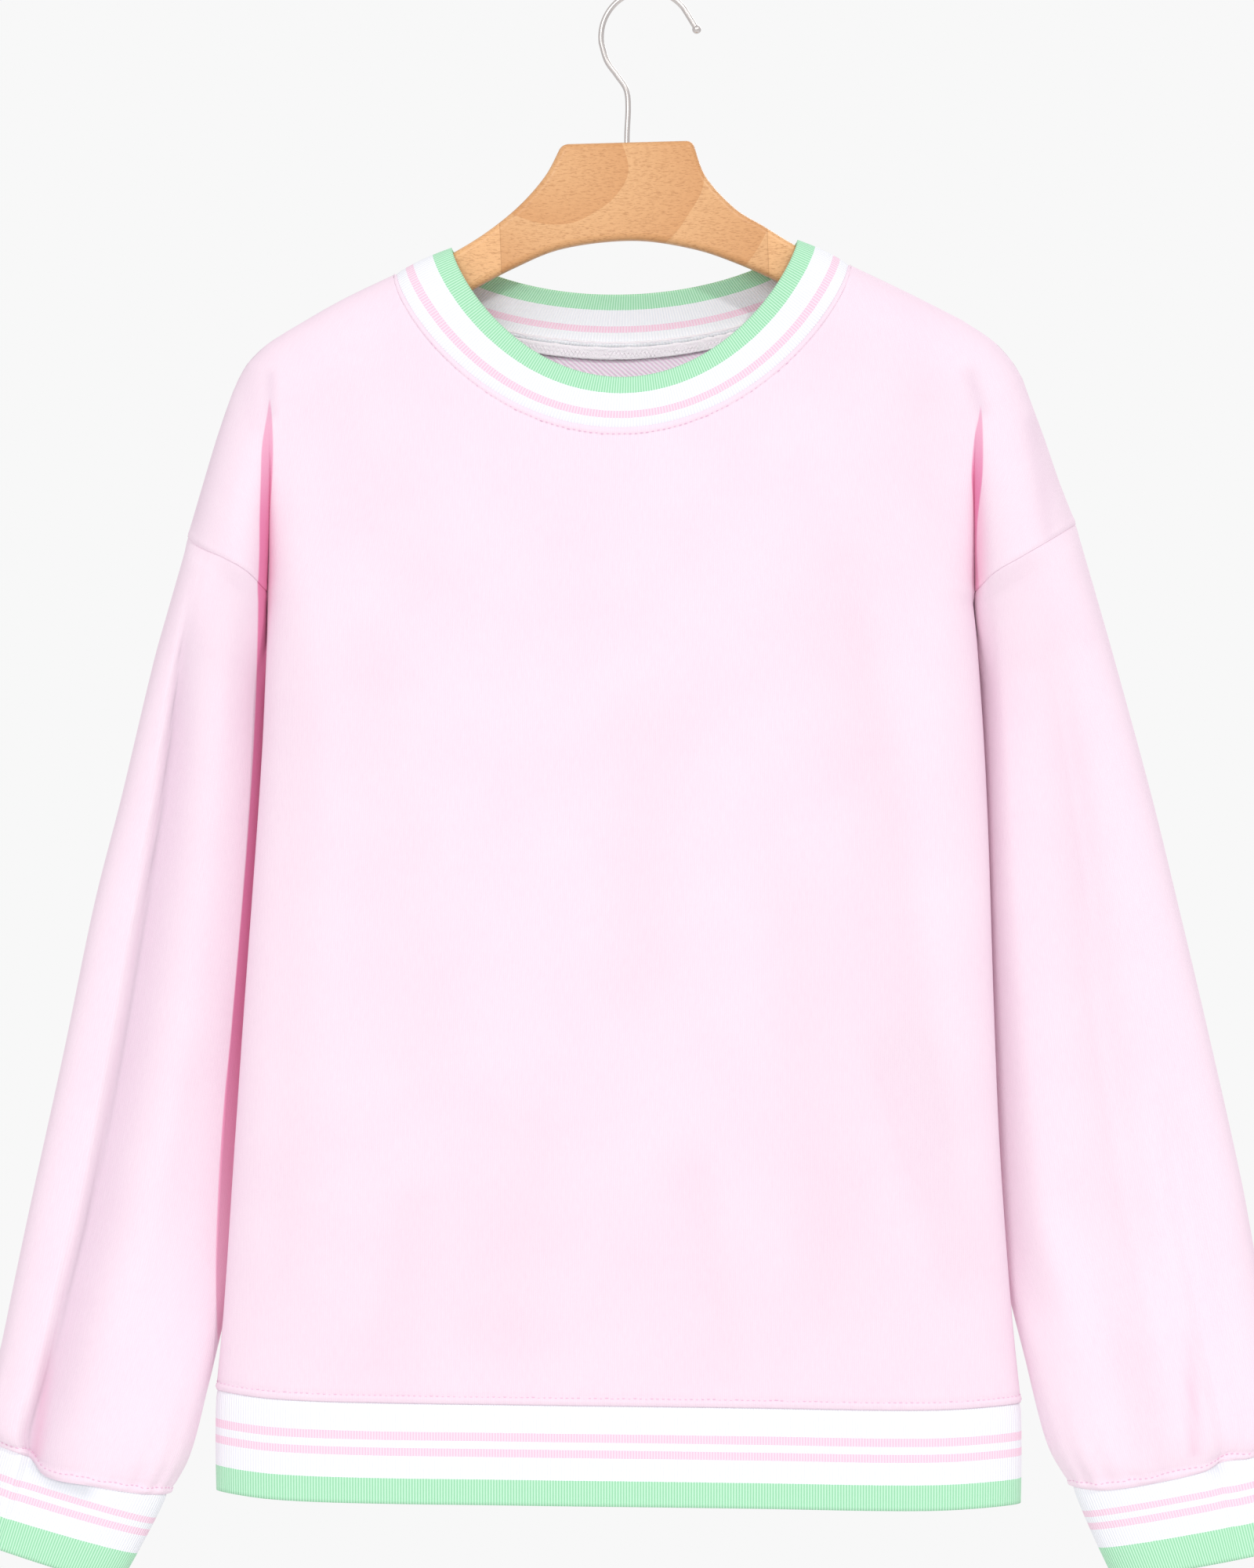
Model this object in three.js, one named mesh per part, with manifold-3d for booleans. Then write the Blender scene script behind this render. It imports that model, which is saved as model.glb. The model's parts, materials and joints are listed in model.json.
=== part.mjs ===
// Crewneck sweatshirt with striped ribs, hung on a wooden hanger with a wire hook.
// Millimetres, +Z up, the front faces -Y. The origin is the inside top of the hook,
// where a rail carries it. Right and left are the wearer's: right is -X, left is +X.
import * as THREE from 'three';
import { mergeVertices } from 'three/addons/utils/BufferGeometryUtils.js';
import Module from 'manifold-3d';

const wasm = await Module();
wasm.setup();

// Driving dimensions
const clothThickness = 1.6;
const seamGap = 0.3;
const armpitHeight = -321;
const armholeSteps = 9;
const headRows = 9;
const sideSteps = 12;
const shoulderSteps = 7;
const neckSteps = 20;
const ribSteps = 3;
const hemBandWidth = 54;
const hemBackDrop = 4;
const hemNarrowing = 0.96;
const bandFullness = { cuff: 0, hem: 0.4, neck: 1 };
const wristLean = { right: -0.25, left: 0.2 };

// Outline of the body below the arms: height, then the edge on each side
const sideSeams = [
  { z: -756, right: -231, left: 199.5 },
  { z: -707, right: -226.4, left: 194.5 },
  { z: -620, right: -220.6, left: 188.2 },
  { z: -544, right: -215.4, left: 185 },
  { z: -450, right: -208.6, left: 182 },
  { z: -400, right: -205.4, left: 179.6 },
  { z: -345, right: -203.2, left: 175.8 },
  { z: -327, right: -203, left: 174.2 },
  { z: armpitHeight, right: -205.6, left: 176.8 },
];

// Armhole seams seen from the front, from the armpit out to the end of the shoulder
const armholes = {
  right: [[-205.6, armpitHeight], [-212.5, -310.6], [-224.5, -303.4], [-238.6, -297], [-245.6, -291.2]],
  left: [[176.8, armpitHeight], [184, -311.4], [199, -302.4], [213.4, -294], [228.9, -284.4]],
};

// Shoulder seams, in three stretches: up the outside of the sleeve head, over the end of the
// shoulder, and in to the neck
const outerShoulders = {
  right: [[-245.6, -291.2], [-237.6, -264], [-230, -238.7], [-222.2, -216], [-218.2, -206.6]],
  left: [[228.9, -284.4], [220, -262], [212, -238.7], [203.6, -216], [200.3, -206.6]],
};
const shoulderEnds = {
  right: [[-218.2, -206.6], [-213.4, -198.6], [-204, -189.2], [-193, -181.9]],
  left: [[200.3, -206.6], [194.8, -197.6], [185, -187], [168, -175.5]],
};
const innerShoulders = {
  right: [[-193, -181.9], [-164, -165.2], [-134.8, -151.1]],
  left: [[168, -175.5], [138, -160.4], [108, -146.1]],
};
const shoulders = Object.fromEntries(['right', 'left'].map((side) => [
  side, [...outerShoulders[side], ...shoulderEnds[side].slice(1), ...innerShoulders[side].slice(1)],
]));

// Creases that run up from the armpits and part the sleeve head from the body
const armCreases = {
  right: [[-205.6, armpitHeight], [-202.4, -300], [-201.4, -262], [-200.8, -222], [-193, -181.9]],
  left: [[176.8, armpitHeight], [175.4, -300], [174.2, -262], [174.4, -222], [168, -175.5]],
};

// Neckline: ends at the neck points, the drop at the middle, and how full its curve is
const neckline = { middleX: -13.4, fullness: 0.74, closer: 0.35, frontDrop: 85.6, backDrop: 37 };
const neckEdge = {
  rightX: -104.6, rightZ: -137, leftX: 80.2, leftZ: -132.8, frontDrop: 69.2, backDrop: 20, fullness: 0.5,
  frontDepth: 21, backDepth: 19,
};

// Lower edge of the body, across from right to left
const lowerEdge = [
  { x: -231, z: -747.4 }, { x: -200, z: -750.4 }, { x: -142, z: -752.2 }, { x: 31, z: -754.6 },
  { x: 150, z: -756.2 }, { x: 199.5, z: -754.4 },
];

// Half depths of the body and of the sleeve heads, front and back, by height
const bodyDepths = [
  { z: -820, front: 25, back: 24, head: 34, sideRound: 66 },
  { z: -750, front: 26, back: 25, head: 34, sideRound: 66 },
  { z: -600, front: 29, back: 27, head: 34, sideRound: 60 },
  { z: -450, front: 31, back: 28, head: 34, sideRound: 46 },
  { z: armpitHeight, front: 30, back: 27, head: 34, sideRound: 26 },
  { z: -270, front: 27, back: 24, head: 31, sideRound: 26 },
  { z: -215, front: 22, back: 20, head: 23, sideRound: 30 },
  { z: -120, front: 20, back: 18, head: 20, sideRound: 34 },
];
const shoulderRound = 32;
const leastDepth = 1.4;

// The crease beside the sleeve head: how round it is, how far up from the armpit it fades,
// how much of it is left above its closed end, and how soon the head's depth takes over
const crease = { headRound: 20, fade: 100, closedEnd: 0.02, strength: 0.94, blend: 20 };

// How fast a fold fades in and out at its ends
const bodyFoldFade = { rate: 4, start: 0.4 };
const sleeveFoldFade = { top: 5, cuff: 8 };

// How the points of the grids crowd together, and the last two rows below the armpit
const crowding = { crease: 0.4, armhole: 0.7, hem: 1.4, sleeve: 0.94 };
const armpitRows = [8, 26];

// Soft folds of the body: where a trough starts and ends, how wide and how deep it is
const frontFolds = [
  { fromX: 98, fromZ: -310, toX: 156, toZ: -640, width: 20, depth: 2.6 },
  { fromX: -4, fromZ: -380, toX: -10, toZ: -560, width: 24, depth: 1.8 },
  { fromX: 124, fromZ: -560, toX: 172, toZ: -700, width: 16, depth: 2 },
  { fromX: 70, fromZ: -470, toX: 96, toZ: -720, width: 22, depth: 2 },
  { fromX: -150, fromZ: -340, toX: -118, toZ: -600, width: 24, depth: 1.8 },
  { fromX: -60, fromZ: -600, toX: -84, toZ: -735, width: 22, depth: 1.6 },
];
const backFolds = [
  { fromX: -110, fromZ: -300, toX: -150, toZ: -640, width: 22, depth: 2.6 },
  { fromX: 20, fromZ: -330, toX: 4, toZ: -600, width: 26, depth: 2.2 },
  { fromX: 90, fromZ: -310, toX: 132, toZ: -590, width: 20, depth: 2.4 },
  { fromX: -40, fromZ: -520, toX: -66, toZ: -730, width: 24, depth: 2 },
];

// Sleeve sections: how far down, the outer and inner edge, where each lies in depth, the half
// depths to the front and the back, and how much thinner the inner part is, which passes
// behind the side of the body
const sleeveSections = {
  right: [
    { at: 0.03, outX: -247.8, outZ: -303, inX: -209.4, inZ: -331, outY: 0, inY: 4, front: 32, back: 32, thin: 0 },
    { at: 0.085, outX: -255.6, outZ: -330, inX: -207, inZ: -355, outY: 0, inY: 14, front: 32, back: 31, thin: 0.3 },
    { at: 0.14, outX: -263.3, outZ: -357, inX: -201, inZ: -380, outY: 1, inY: 21, front: 31, back: 29, thin: 0.55 },
    { at: 0.29, outX: -281, outZ: -431, inX: -199.5, inZ: -452, outY: 1, inY: 25, front: 30, back: 27, thin: 0.6 },
    { at: 0.43, outX: -295.7, outZ: -489, inX: -203, inZ: -514, outY: 1, inY: 25, front: 30, back: 26, thin: 0.6 },
    { at: 0.57, outX: -311.6, outZ: -566, inX: -210, inZ: -592, outY: 1, inY: 25, front: 29, back: 25, thin: 0.6 },
    { at: 0.72, outX: -329.3, outZ: -647, inX: -218, inZ: -673, outY: 1, inY: 22, front: 29, back: 25, thin: 0.55 },
    { at: 0.8, outX: -338.8, outZ: -692, inX: -228.4, inZ: -712, outY: 1, inY: 14, front: 29, back: 26, thin: 0.35 },
    { at: 0.86, outX: -346, outZ: -727, inX: -236.6, inZ: -747, outY: 1, inY: 6, front: 30, back: 27, thin: 0.1 },
    { at: 0.94, outX: -355.5, outZ: -764, inX: -246.2, inZ: -783, outY: 0, inY: 2, front: 27, back: 25, thin: 0 },
    { at: 1, outX: -350.6, outZ: -775.5, inX: -257.4, inZ: -803, outY: 0, inY: 0, front: 19, back: 18, thin: 0 },
  ],
  left: [
    { at: 0.03, outX: 232, outZ: -297, inX: 180, inZ: -331, outY: 0, inY: 3, front: 32, back: 32, thin: 0 },
    { at: 0.085, outX: 240, outZ: -324.5, inX: 178.6, inZ: -355, outY: 0, inY: 15, front: 32, back: 31, thin: 0.3 },
    { at: 0.14, outX: 248, outZ: -352, inX: 175.4, inZ: -378, outY: 1, inY: 24, front: 31, back: 29, thin: 0.55 },
    { at: 0.29, outX: 268.8, outZ: -428, inX: 174.6, inZ: -452, outY: 1, inY: 26, front: 30, back: 27, thin: 0.6 },
    { at: 0.43, outX: 283.5, outZ: -488, inX: 176, inZ: -514, outY: 1, inY: 26, front: 30, back: 26, thin: 0.6 },
    { at: 0.57, outX: 299.6, outZ: -556, inX: 178.6, inZ: -582, outY: 1, inY: 25, front: 29, back: 25, thin: 0.6 },
    { at: 0.72, outX: 317.5, outZ: -636, inX: 185, inZ: -660, outY: 1, inY: 21, front: 29, back: 25, thin: 0.55 },
    { at: 0.8, outX: 325.5, outZ: -680, inX: 195.6, inZ: -700, outY: 1, inY: 13, front: 29, back: 26, thin: 0.35 },
    { at: 0.86, outX: 331.5, outZ: -715, inX: 202.6, inZ: -728, outY: 1, inY: 5, front: 30, back: 27, thin: 0.1 },
    { at: 0.94, outX: 341.4, outZ: -766, inX: 215, inZ: -776, outY: 0, inY: 0, front: 27, back: 25, thin: 0 },
    { at: 1, outX: 332.6, outZ: -779.5, inX: 228.2, inZ: -799, outY: 0, inY: 0, front: 20, back: 18, thin: 0 },
  ],
};
const thinFrom = 0.55;
const sleeveRows = 19;
const sleeveSquareness = 2.5;

// Folds along the sleeves: place across the front (0 outer edge, 1 inner edge) at the top
// and at the cuff, the stretch they run over, width across, depth of the trough
const sleeveFolds = {
  right: [
    { topAcross: 0.26, cuffAcross: 0.44, from: 0.06, to: 0.98, width: 0.13, depth: 6, front: true },
    { topAcross: 0.5, cuffAcross: 0.42, from: 0.1, to: 0.97, width: 0.15, depth: 4.5, front: false },
  ],
  left: [
    { topAcross: 0.42, cuffAcross: 0.45, from: 0.1, to: 0.8, width: 0.16, depth: 3, front: true },
    { topAcross: 0.6, cuffAcross: 0.4, from: 0.62, to: 0.98, width: 0.1, depth: 4, front: true },
    { topAcross: 0.5, cuffAcross: 0.6, from: 0.1, to: 0.97, width: 0.15, depth: 4.5, front: false },
  ],
};

// Cuffs: the lower edge of each
const cuffEnds = {
  right: { outX: -363.4, outZ: -826.5, inX: -283.6, inZ: -852, front: 16, back: 15 },
  left: { outX: 342.6, outZ: -832, inX: 250.6, inZ: -849, front: 17, back: 15 },
};

// Hanger: one flat shape, its arms tucked under the shoulders
const hangerThickness = 12;
const hangerEdgeRound = 3.6;
const socketDepth = 14;
const socketRadius = 1.8;

// Hook: a wire bent to an open circle, with a ball at its tip
const wireRadius = 1.5;
const hookRadius = 24.8;
const hookMiddleZ = -hookRadius + wireRadius;
const hookTurn = { from: 188, to: 33, step: 19 };
const tip = { x: 27.7, z: -21.3, radius: 2.4 };

// Seam allowance pressed down inside the back of the neck
const allowance = { width: 10, thickness: 1.2, clear: 0.4, skip: 5 };

function smoothStep(value) {
  const t = Math.min(Math.max(value, 0), 1);
  return t * t * (3 - 2 * t);
}

// A quarter ellipse: 0 at the edge, 1 where the surface has turned flat
function roundEdge(value) {
  const t = Math.min(Math.max(value, 0), 1);
  return Math.sqrt(1 - (1 - t) * (1 - t));
}

// A smooth value from a table, between the rows on both sides of a key
function fromTable(rows, keyName, valueName, key) {
  const rising = rows[0][keyName] < rows[rows.length - 1][keyName];
  const list = rising ? rows : [...rows].reverse();
  const last = list.length - 1;
  let index = 0;
  while (index < last - 1 && key > list[index + 1][keyName]) index += 1;
  const span = list[index + 1][keyName] - list[index][keyName];
  const t = Math.min(Math.max((key - list[index][keyName]) / span, 0), 1);
  const slope = (i) => {
    const before = list[Math.max(i - 1, 0)];
    const after = list[Math.min(i + 1, last)];
    return (after[valueName] - before[valueName]) / (after[keyName] - before[keyName]);
  };
  const a = list[index][valueName];
  const b = list[index + 1][valueName];
  const rise = span * slope(index);
  const run = span * slope(index + 1);
  return a * (1 + 2 * t) * (1 - t) ** 2 + rise * t * (1 - t) ** 2 + b * t * t * (3 - 2 * t) + run * t * t * (t - 1);
}

// Points along a line of corners, evenly spaced by length
function alongLine(corners, share) {
  const lengths = corners.slice(1).map((c, i) => Math.hypot(c[0] - corners[i][0], c[1] - corners[i][1]));
  let left = share * lengths.reduce((sum, length) => sum + length, 0);
  let index = 0;
  while (index < lengths.length - 1 && left > lengths[index]) {
    left -= lengths[index];
    index += 1;
  }
  const t = Math.min(left / lengths[index], 1);
  const [from, to] = [corners[index], corners[index + 1]];
  return [from[0] + (to[0] - from[0]) * t, from[1] + (to[1] - from[1]) * t];
}

// Distance in the front view from a place to a line of corners
function distanceTo(corners, x, z) {
  let nearest = Infinity;
  for (let i = 0; i < corners.length - 1; i += 1) {
    const [ax, az] = corners[i];
    const [dx, dz] = [corners[i + 1][0] - ax, corners[i + 1][1] - az];
    const t = Math.min(Math.max(((x - ax) * dx + (z - az) * dz) / (dx * dx + dz * dz), 0), 1);
    nearest = Math.min(nearest, Math.hypot(x - ax - dx * t, z - az - dz * t));
  }
  return nearest;
}

// The outlines that the surface turns back at: sides, shoulders and the outer edge of the sleeves
const sideLines = {
  right: sideSeams.map((row) => [row.right, row.z]),
  left: sideSeams.map((row) => [row.left, row.z]),
};
const outerLines = {
  right: [...sleeveSections.right.slice(0, 3).map((row) => [row.outX, row.outZ]).reverse(), ...shoulders.right],
  left: [...sleeveSections.left.slice(0, 3).map((row) => [row.outX, row.outZ]).reverse(), ...shoulders.left],
};

function troughs(folds, x, z) {
  let sum = 0;
  for (const fold of folds) {
    const [dx, dz] = [fold.toX - fold.fromX, fold.toZ - fold.fromZ];
    const along = ((x - fold.fromX) * dx + (z - fold.fromZ) * dz) / (dx * dx + dz * dz);
    const off = ((x - fold.fromX) * dz - (z - fold.fromZ) * dx) / Math.hypot(dx, dz);
    const { rate, start } = bodyFoldFade;
    const fade = smoothStep(along * rate + start) * smoothStep((1 - along) * rate + start);
    sum += fold.depth * fade * Math.exp(-((off / fold.width) ** 2));
  }
  return sum;
}

// How far the body's wall stands from the middle plane, at a place seen from the front
function bodyDepth(face, x, z) {
  const side = x < neckline.middleX ? 'right' : 'left';
  const sign = side === 'right' ? -1 : 1;
  const line = armCreases[side];
  const aboveArmpit = z > armpitHeight;
  const creaseX = aboveArmpit ? fromTable(line.map(([cx, cz]) => ({ x: cx, z: cz })), 'z', 'x', z) : line[0][0];
  const beyond = sign * (x - creaseX);
  const headShare = aboveArmpit ? smoothStep(beyond / crease.blend + 0.5) : 0;
  const body = fromTable(bodyDepths, 'z', face, z);
  const head = fromTable(bodyDepths, 'z', 'head', z);
  const full = body + (head - body) * headShare;
  const sideRound = fromTable(bodyDepths, 'z', 'sideRound', z);
  const turned = roundEdge(distanceTo(outerLines[side], x, z) / shoulderRound);
  let parted = roundEdge(distanceTo(sideLines[side], x, z) / sideRound);
  if (aboveArmpit) {
    const reach = beyond > 0 ? crease.headRound : sideRound;
    const close = roundEdge(distanceTo(line, x, z) / reach);
    const up = (z - armpitHeight) / crease.fade;
    const strength = up < crease.closedEnd ? 1 : crease.strength * (1 - smoothStep(up));
    parted = 1 - strength * (1 - close);
  }
  const folds = face === 'front' ? frontFolds : backFolds;
  const calm = Math.min(turned, parted);
  return full * turned * parted - troughs(folds, x, z) * calm;
}

// A sheet of cloth with no thickness yet: its points, and the triangles between them.
// Grids that are added to it share the points where they meet
function newSheet() {
  return { points: [], normals: [], faces: [], ids: new Map() };
}

function addPoint(sheet, point) {
  const key = [point.x, point.y, point.z].map((value) => Math.round(value * 1e4)).join();
  if (!sheet.ids.has(key)) {
    sheet.ids.set(key, sheet.points.length);
    sheet.points.push(point);
  }
  return sheet.ids.get(key);
}

function addGrid(sheet, rows, columns, { closed = false, flip = false }, pointAt) {
  const width = closed ? columns : columns + 1;
  const ids = [];
  for (let r = 0; r <= rows; r += 1) {
    ids.push(Array.from({ length: width }, (_, c) => addPoint(sheet, pointAt(r, c))));
  }
  const face = (a, b, c) => {
    if (a !== b && b !== c && c !== a) sheet.faces.push(flip ? [a, c, b] : [a, b, c]);
  };
  for (let r = 0; r < rows; r += 1) {
    for (let c = 0; c < columns; c += 1) {
      const next = (c + 1) % width;
      face(ids[r][c], ids[r][next], ids[r + 1][next]);
      face(ids[r][c], ids[r + 1][next], ids[r + 1][c]);
    }
  }
  return ids;
}

// Each point's normal is the mean of the faces round it, by their area
function findNormals(sheet) {
  sheet.normals = sheet.points.map(() => new THREE.Vector3());
  for (const [a, b, c] of sheet.faces) {
    const [p, q, s] = [a, b, c].map((i) => sheet.points[i]);
    const normal = q.clone().sub(p).cross(s.clone().sub(p));
    for (const i of [a, b, c]) sheet.normals[i].add(normal);
  }
  sheet.normals.forEach((normal) => normal.normalize());
}

// A wall of even thickness about a sheet, closed all round its free edges. Where two walls
// meet at a seam, both split their edge faces from the lower point, so that the faces match
function wall(sheet, thickness) {
  const { points, normals, faces } = sheet;
  const count = points.length;
  const positions = [];
  for (const side of [0.5, -0.5]) {
    points.forEach((point, i) => {
      const p = point.clone().addScaledVector(normals[i], side * thickness);
      positions.push(p.x, p.y, p.z);
    });
  }
  const index = [];
  const edges = new Set(faces.flatMap(([a, b, c]) => [`${a} ${b}`, `${b} ${c}`, `${c} ${a}`]));
  for (const [a, b, c] of faces) {
    index.push(a, b, c, a + count, c + count, b + count);
    for (const [from, to] of [[a, b], [b, c], [c, a]]) {
      if (edges.has(`${to} ${from}`)) continue;
      if (points[from].z < points[to].z) index.push(to, from, from + count, to, from + count, to + count);
      else index.push(to, from, to + count, from, from + count, to + count);
    }
  }
  const geometry = new THREE.BufferGeometry();
  geometry.setAttribute('position', new THREE.Float32BufferAttribute(positions, 3));
  geometry.setIndex(index);
  return geometry;
}

// The rim of a sheet that the next piece is sewn to: its points, normals and the way out of it
function rimOf(sheet, edge, inner) {
  return edge.map((id, i) => {
    const point = sheet.points[id].clone();
    const out = point.clone().sub(sheet.points[inner[i]]).normalize();
    return { point, normal: sheet.normals[id].clone(), out };
  });
}

// Front and back meet at the rim's two ends, where the next piece has one point between them
function joinRims(front, back) {
  const last = front.length - 1;
  const middle = (a, b) => {
    const joined = {};
    for (const part of ['point', 'normal', 'out']) {
      joined[part] = a[part].clone().add(b[part]).multiplyScalar(0.5);
      joined[part].y = 0;
    }
    joined.normal.normalize();
    joined.out.normalize();
    return joined;
  };
  const start = middle(front[0], back[0]);
  const end = middle(front[last], back[last]);
  return [start, ...front.slice(1, last), end, ...back.slice(1, last).reverse()];
}

// The next piece's first row, straight out across the seam
function seamRow(rim) {
  return rim.map(({ point, out, normal }, i) => {
    const [before, after] = [rim[(i + rim.length - 1) % rim.length], rim[(i + 1) % rim.length]];
    const tangent = after.point.clone().sub(before.point).normalize();
    const straight = tangent.cross(normal).normalize();
    if (straight.dot(out) < 0) straight.negate();
    return point.clone().addScaledVector(straight, seamGap);
  });
}

// A place inside four edges seen from the front, each a function of its own share of the way
function fillIn(edges, u, v) {
  const [bottom, top, start, end] = [edges.bottom(u), edges.top(u), edges.start(v), edges.end(v)];
  const corners = [edges.bottom(0), edges.bottom(1), edges.top(0), edges.top(1)];
  return [0, 1].map((k) => (1 - v) * bottom[k] + v * top[k] + (1 - u) * start[k] + u * end[k]
    - (1 - u) * (1 - v) * corners[0][k] - u * (1 - v) * corners[1][k]
    - (1 - u) * v * corners[2][k] - u * v * corners[3][k]);
}

// Shares of the way across or up, closer together at both ends
function endsCloser(share, amount) {
  return share - (amount * Math.sin(2 * Math.PI * share)) / (2 * Math.PI);
}

function neckPoint(share, drop, from, to) {
  const t = -Math.cos(Math.PI * endsCloser(share, neckline.closer));
  const x = from[0] + (to[0] - from[0]) * (t + 1) / 2;
  const z = from[1] + (to[1] - from[1]) * (t + 1) / 2;
  return [x, z - drop * (1 - t * t) ** neckline.fullness];
}

// Front or back panel: the body between its side seams and arm creases, and a sleeve head
// beyond each crease. Both are filled in between their edges
const bodyColumns = 2 * shoulderSteps + neckSteps;
const bodyRows = sideSteps + headRows;
const bottomCorner = { right: [lowerEdge[0].x, lowerEdge[0].z] };
bottomCorner.left = [lowerEdge[lowerEdge.length - 1].x, lowerEdge[lowerEdge.length - 1].z];

function bodyTop(face, column) {
  if (column <= shoulderSteps) return alongLine(innerShoulders.right, column / shoulderSteps);
  const fromLeft = bodyColumns - column;
  if (fromLeft <= shoulderSteps) return alongLine(innerShoulders.left, fromLeft / shoulderSteps);
  const drop = face === 'front' ? neckline.frontDrop : neckline.backDrop;
  const ends = [innerShoulders.right, innerShoulders.left].map((line) => line[line.length - 1]);
  return neckPoint((column - shoulderSteps) / neckSteps, drop, ...ends);
}

function bodyBottom(column) {
  const half = bodyColumns / 2;
  const fromSide = (Math.min(column, bodyColumns - column) / half) ** crowding.hem;
  const middle = (lowerEdge[0].x + lowerEdge[lowerEdge.length - 1].x) / 2;
  const start = column < half ? bottomCorner.right[0] : bottomCorner.left[0];
  const x = start + (middle - start) * fromSide;
  return [x, fromTable(lowerEdge, 'x', 'z', x)];
}

function bodySide(side, row) {
  if (row >= sideSteps) return alongLine(armCreases[side], endsCloser((row - sideSteps) / headRows, crowding.crease));
  const start = bottomCorner[side][1];
  const isNext = row === sideSteps - 1;
  const even = start + (armpitHeight - armpitRows[1] - start) * (row / (sideSteps - 2));
  const z = isNext ? armpitHeight - armpitRows[0] : even;
  return [fromTable(sideSeams, 'z', side, z), z];
}

function panel(face) {
  const sign = face === 'front' ? -1 : 1;
  const sheet = newSheet();
  const place = ([x, z], onSeam) => {
    const depth = onSeam ? seamGap / 2 : Math.max(bodyDepth(face, x, z), leastDepth);
    return new THREE.Vector3(x, sign * depth, z);
  };
  const body = {
    bottom: (u) => bodyBottom(Math.round(u * bodyColumns)),
    top: (u) => bodyTop(face, Math.round(u * bodyColumns)),
    start: (v) => bodySide('right', Math.round(v * bodyRows)),
    end: (v) => bodySide('left', Math.round(v * bodyRows)),
  };
  const flip = face === 'back';
  sheet.body = addGrid(sheet, bodyRows, bodyColumns, { flip }, (row, column) => {
    const fromSide = Math.min(column, bodyColumns - column);
    const onSide = fromSide === 0 && (row <= sideSteps || row === bodyRows);
    const onShoulder = row === bodyRows && fromSide <= shoulderSteps;
    return place(fillIn(body, column / bodyColumns, row / bodyRows), onSide || onShoulder);
  });
  for (const side of ['right', 'left']) {
    const head = {
      bottom: (u) => alongLine(armholes[side], endsCloser(u, crowding.armhole)),
      top: (u) => alongLine(shoulderEnds[side], 1 - u),
      start: (v) => bodySide(side, sideSteps + Math.round(v * headRows)),
      end: (v) => alongLine(outerShoulders[side], endsCloser(v, crowding.crease)),
    };
    const turn = side === 'right' ? !flip : flip;
    sheet[side] = addGrid(sheet, headRows, armholeSteps, { flip: turn }, (row, column) => {
      const onSide = column === armholeSteps || (column === 0 && (row === 0 || row === headRows));
      return place(fillIn(head, column / armholeSteps, row / headRows), onSide || row === headRows);
    });
  }
  findNormals(sheet);
  squareSeams(sheet);
  return sheet;
}

// Where front and back meet, each wall's edge faces the other squarely
function squareSeams(sheet) {
  sheet.points.forEach((point, i) => {
    if (Math.abs(point.y) > seamGap) return;
    sheet.normals[i].y = 0;
    sheet.normals[i].normalize();
  });
  sheet.normals[sheet.body[sideSteps][0]].set(0, 0, -1);
  sheet.normals[sheet.body[sideSteps][bodyColumns]].set(0, 0, -1);
}

// Sleeve: rings from the armhole to the cuff seam, with the folds pressed into them
function sleeveRing(section, columns, folds, at) {
  const points = [];
  for (let c = 0; c < columns; c += 1) {
    const angle = (2 * Math.PI * c) / columns;
    const [cos, sin] = [Math.cos(angle), Math.sin(angle)];
    const across = (1 - Math.sign(cos) * Math.abs(cos) ** (2 / sleeveSquareness)) / 2;
    const bulge = Math.abs(sin) ** (2 / sleeveSquareness);
    const isFront = sin >= 0;
    const thinner = 1 - section.thin * smoothStep((across - thinFrom) / (1 - thinFrom));
    let depth = (isFront ? section.front : section.back) * bulge * thinner;
    for (const fold of folds) {
      if (fold.front !== isFront || at < fold.from || at > fold.to) continue;
      const share = (at - fold.from) / (fold.to - fold.from);
      const place = fold.topAcross + (fold.cuffAcross - fold.topAcross) * share;
      const fade = smoothStep(share * sleeveFoldFade.top) * smoothStep((1 - share) * sleeveFoldFade.cuff);
      depth -= fold.depth * fade * Math.exp(-(((across - place) / fold.width) ** 2)) * bulge;
    }
    const x = section.outX + (section.inX - section.outX) * across;
    const z = section.outZ + (section.inZ - section.outZ) * across;
    const y = section.outY + (section.inY - section.outY) * across - (isFront ? depth : -depth);
    points.push(new THREE.Vector3(x, y, z));
  }
  return points;
}

function sleeveSheet(side, rim) {
  const table = sleeveSections[side];
  const start = seamRow(rim);
  const sheet = newSheet();
  sheet.rings = addGrid(sheet, sleeveRows, start.length, { closed: true, flip: side === 'right' }, (row, column) => {
    if (row === 0) return start[column];
    const at = table[0].at + (1 - table[0].at) * ((row - 1) / (sleeveRows - 1)) ** crowding.sleeve;
    const section = {};
    for (const name of Object.keys(table[0])) section[name] = fromTable(table, 'at', name, at);
    return sleeveRing(section, start.length, sleeveFolds[side], at)[column];
  });
  findNormals(sheet);
  rim.forEach(({ normal }, column) => sheet.normals[sheet.rings[0][column]].copy(normal));
  return sheet;
}

// A rib band: from the seam to its free edge, a little fuller between them
function band(rim, edge, flip, fullness) {
  const start = seamRow(rim);
  const sheet = newSheet();
  sheet.rings = addGrid(sheet, ribSteps, start.length, { closed: true, flip }, (row, column) => {
    const t = row / ribSteps;
    const point = start[column].clone().lerp(edge[column], t);
    return point.addScaledVector(rim[column].normal, fullness * 4 * t * (1 - t));
  });
  findNormals(sheet);
  rim.forEach(({ normal }, column) => sheet.normals[sheet.rings[0][column]].copy(normal));
  return sheet;
}

function mesh(name, geometry, material) {
  const piece = new THREE.Mesh(geometry, material);
  piece.name = name;
  return piece;
}

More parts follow.
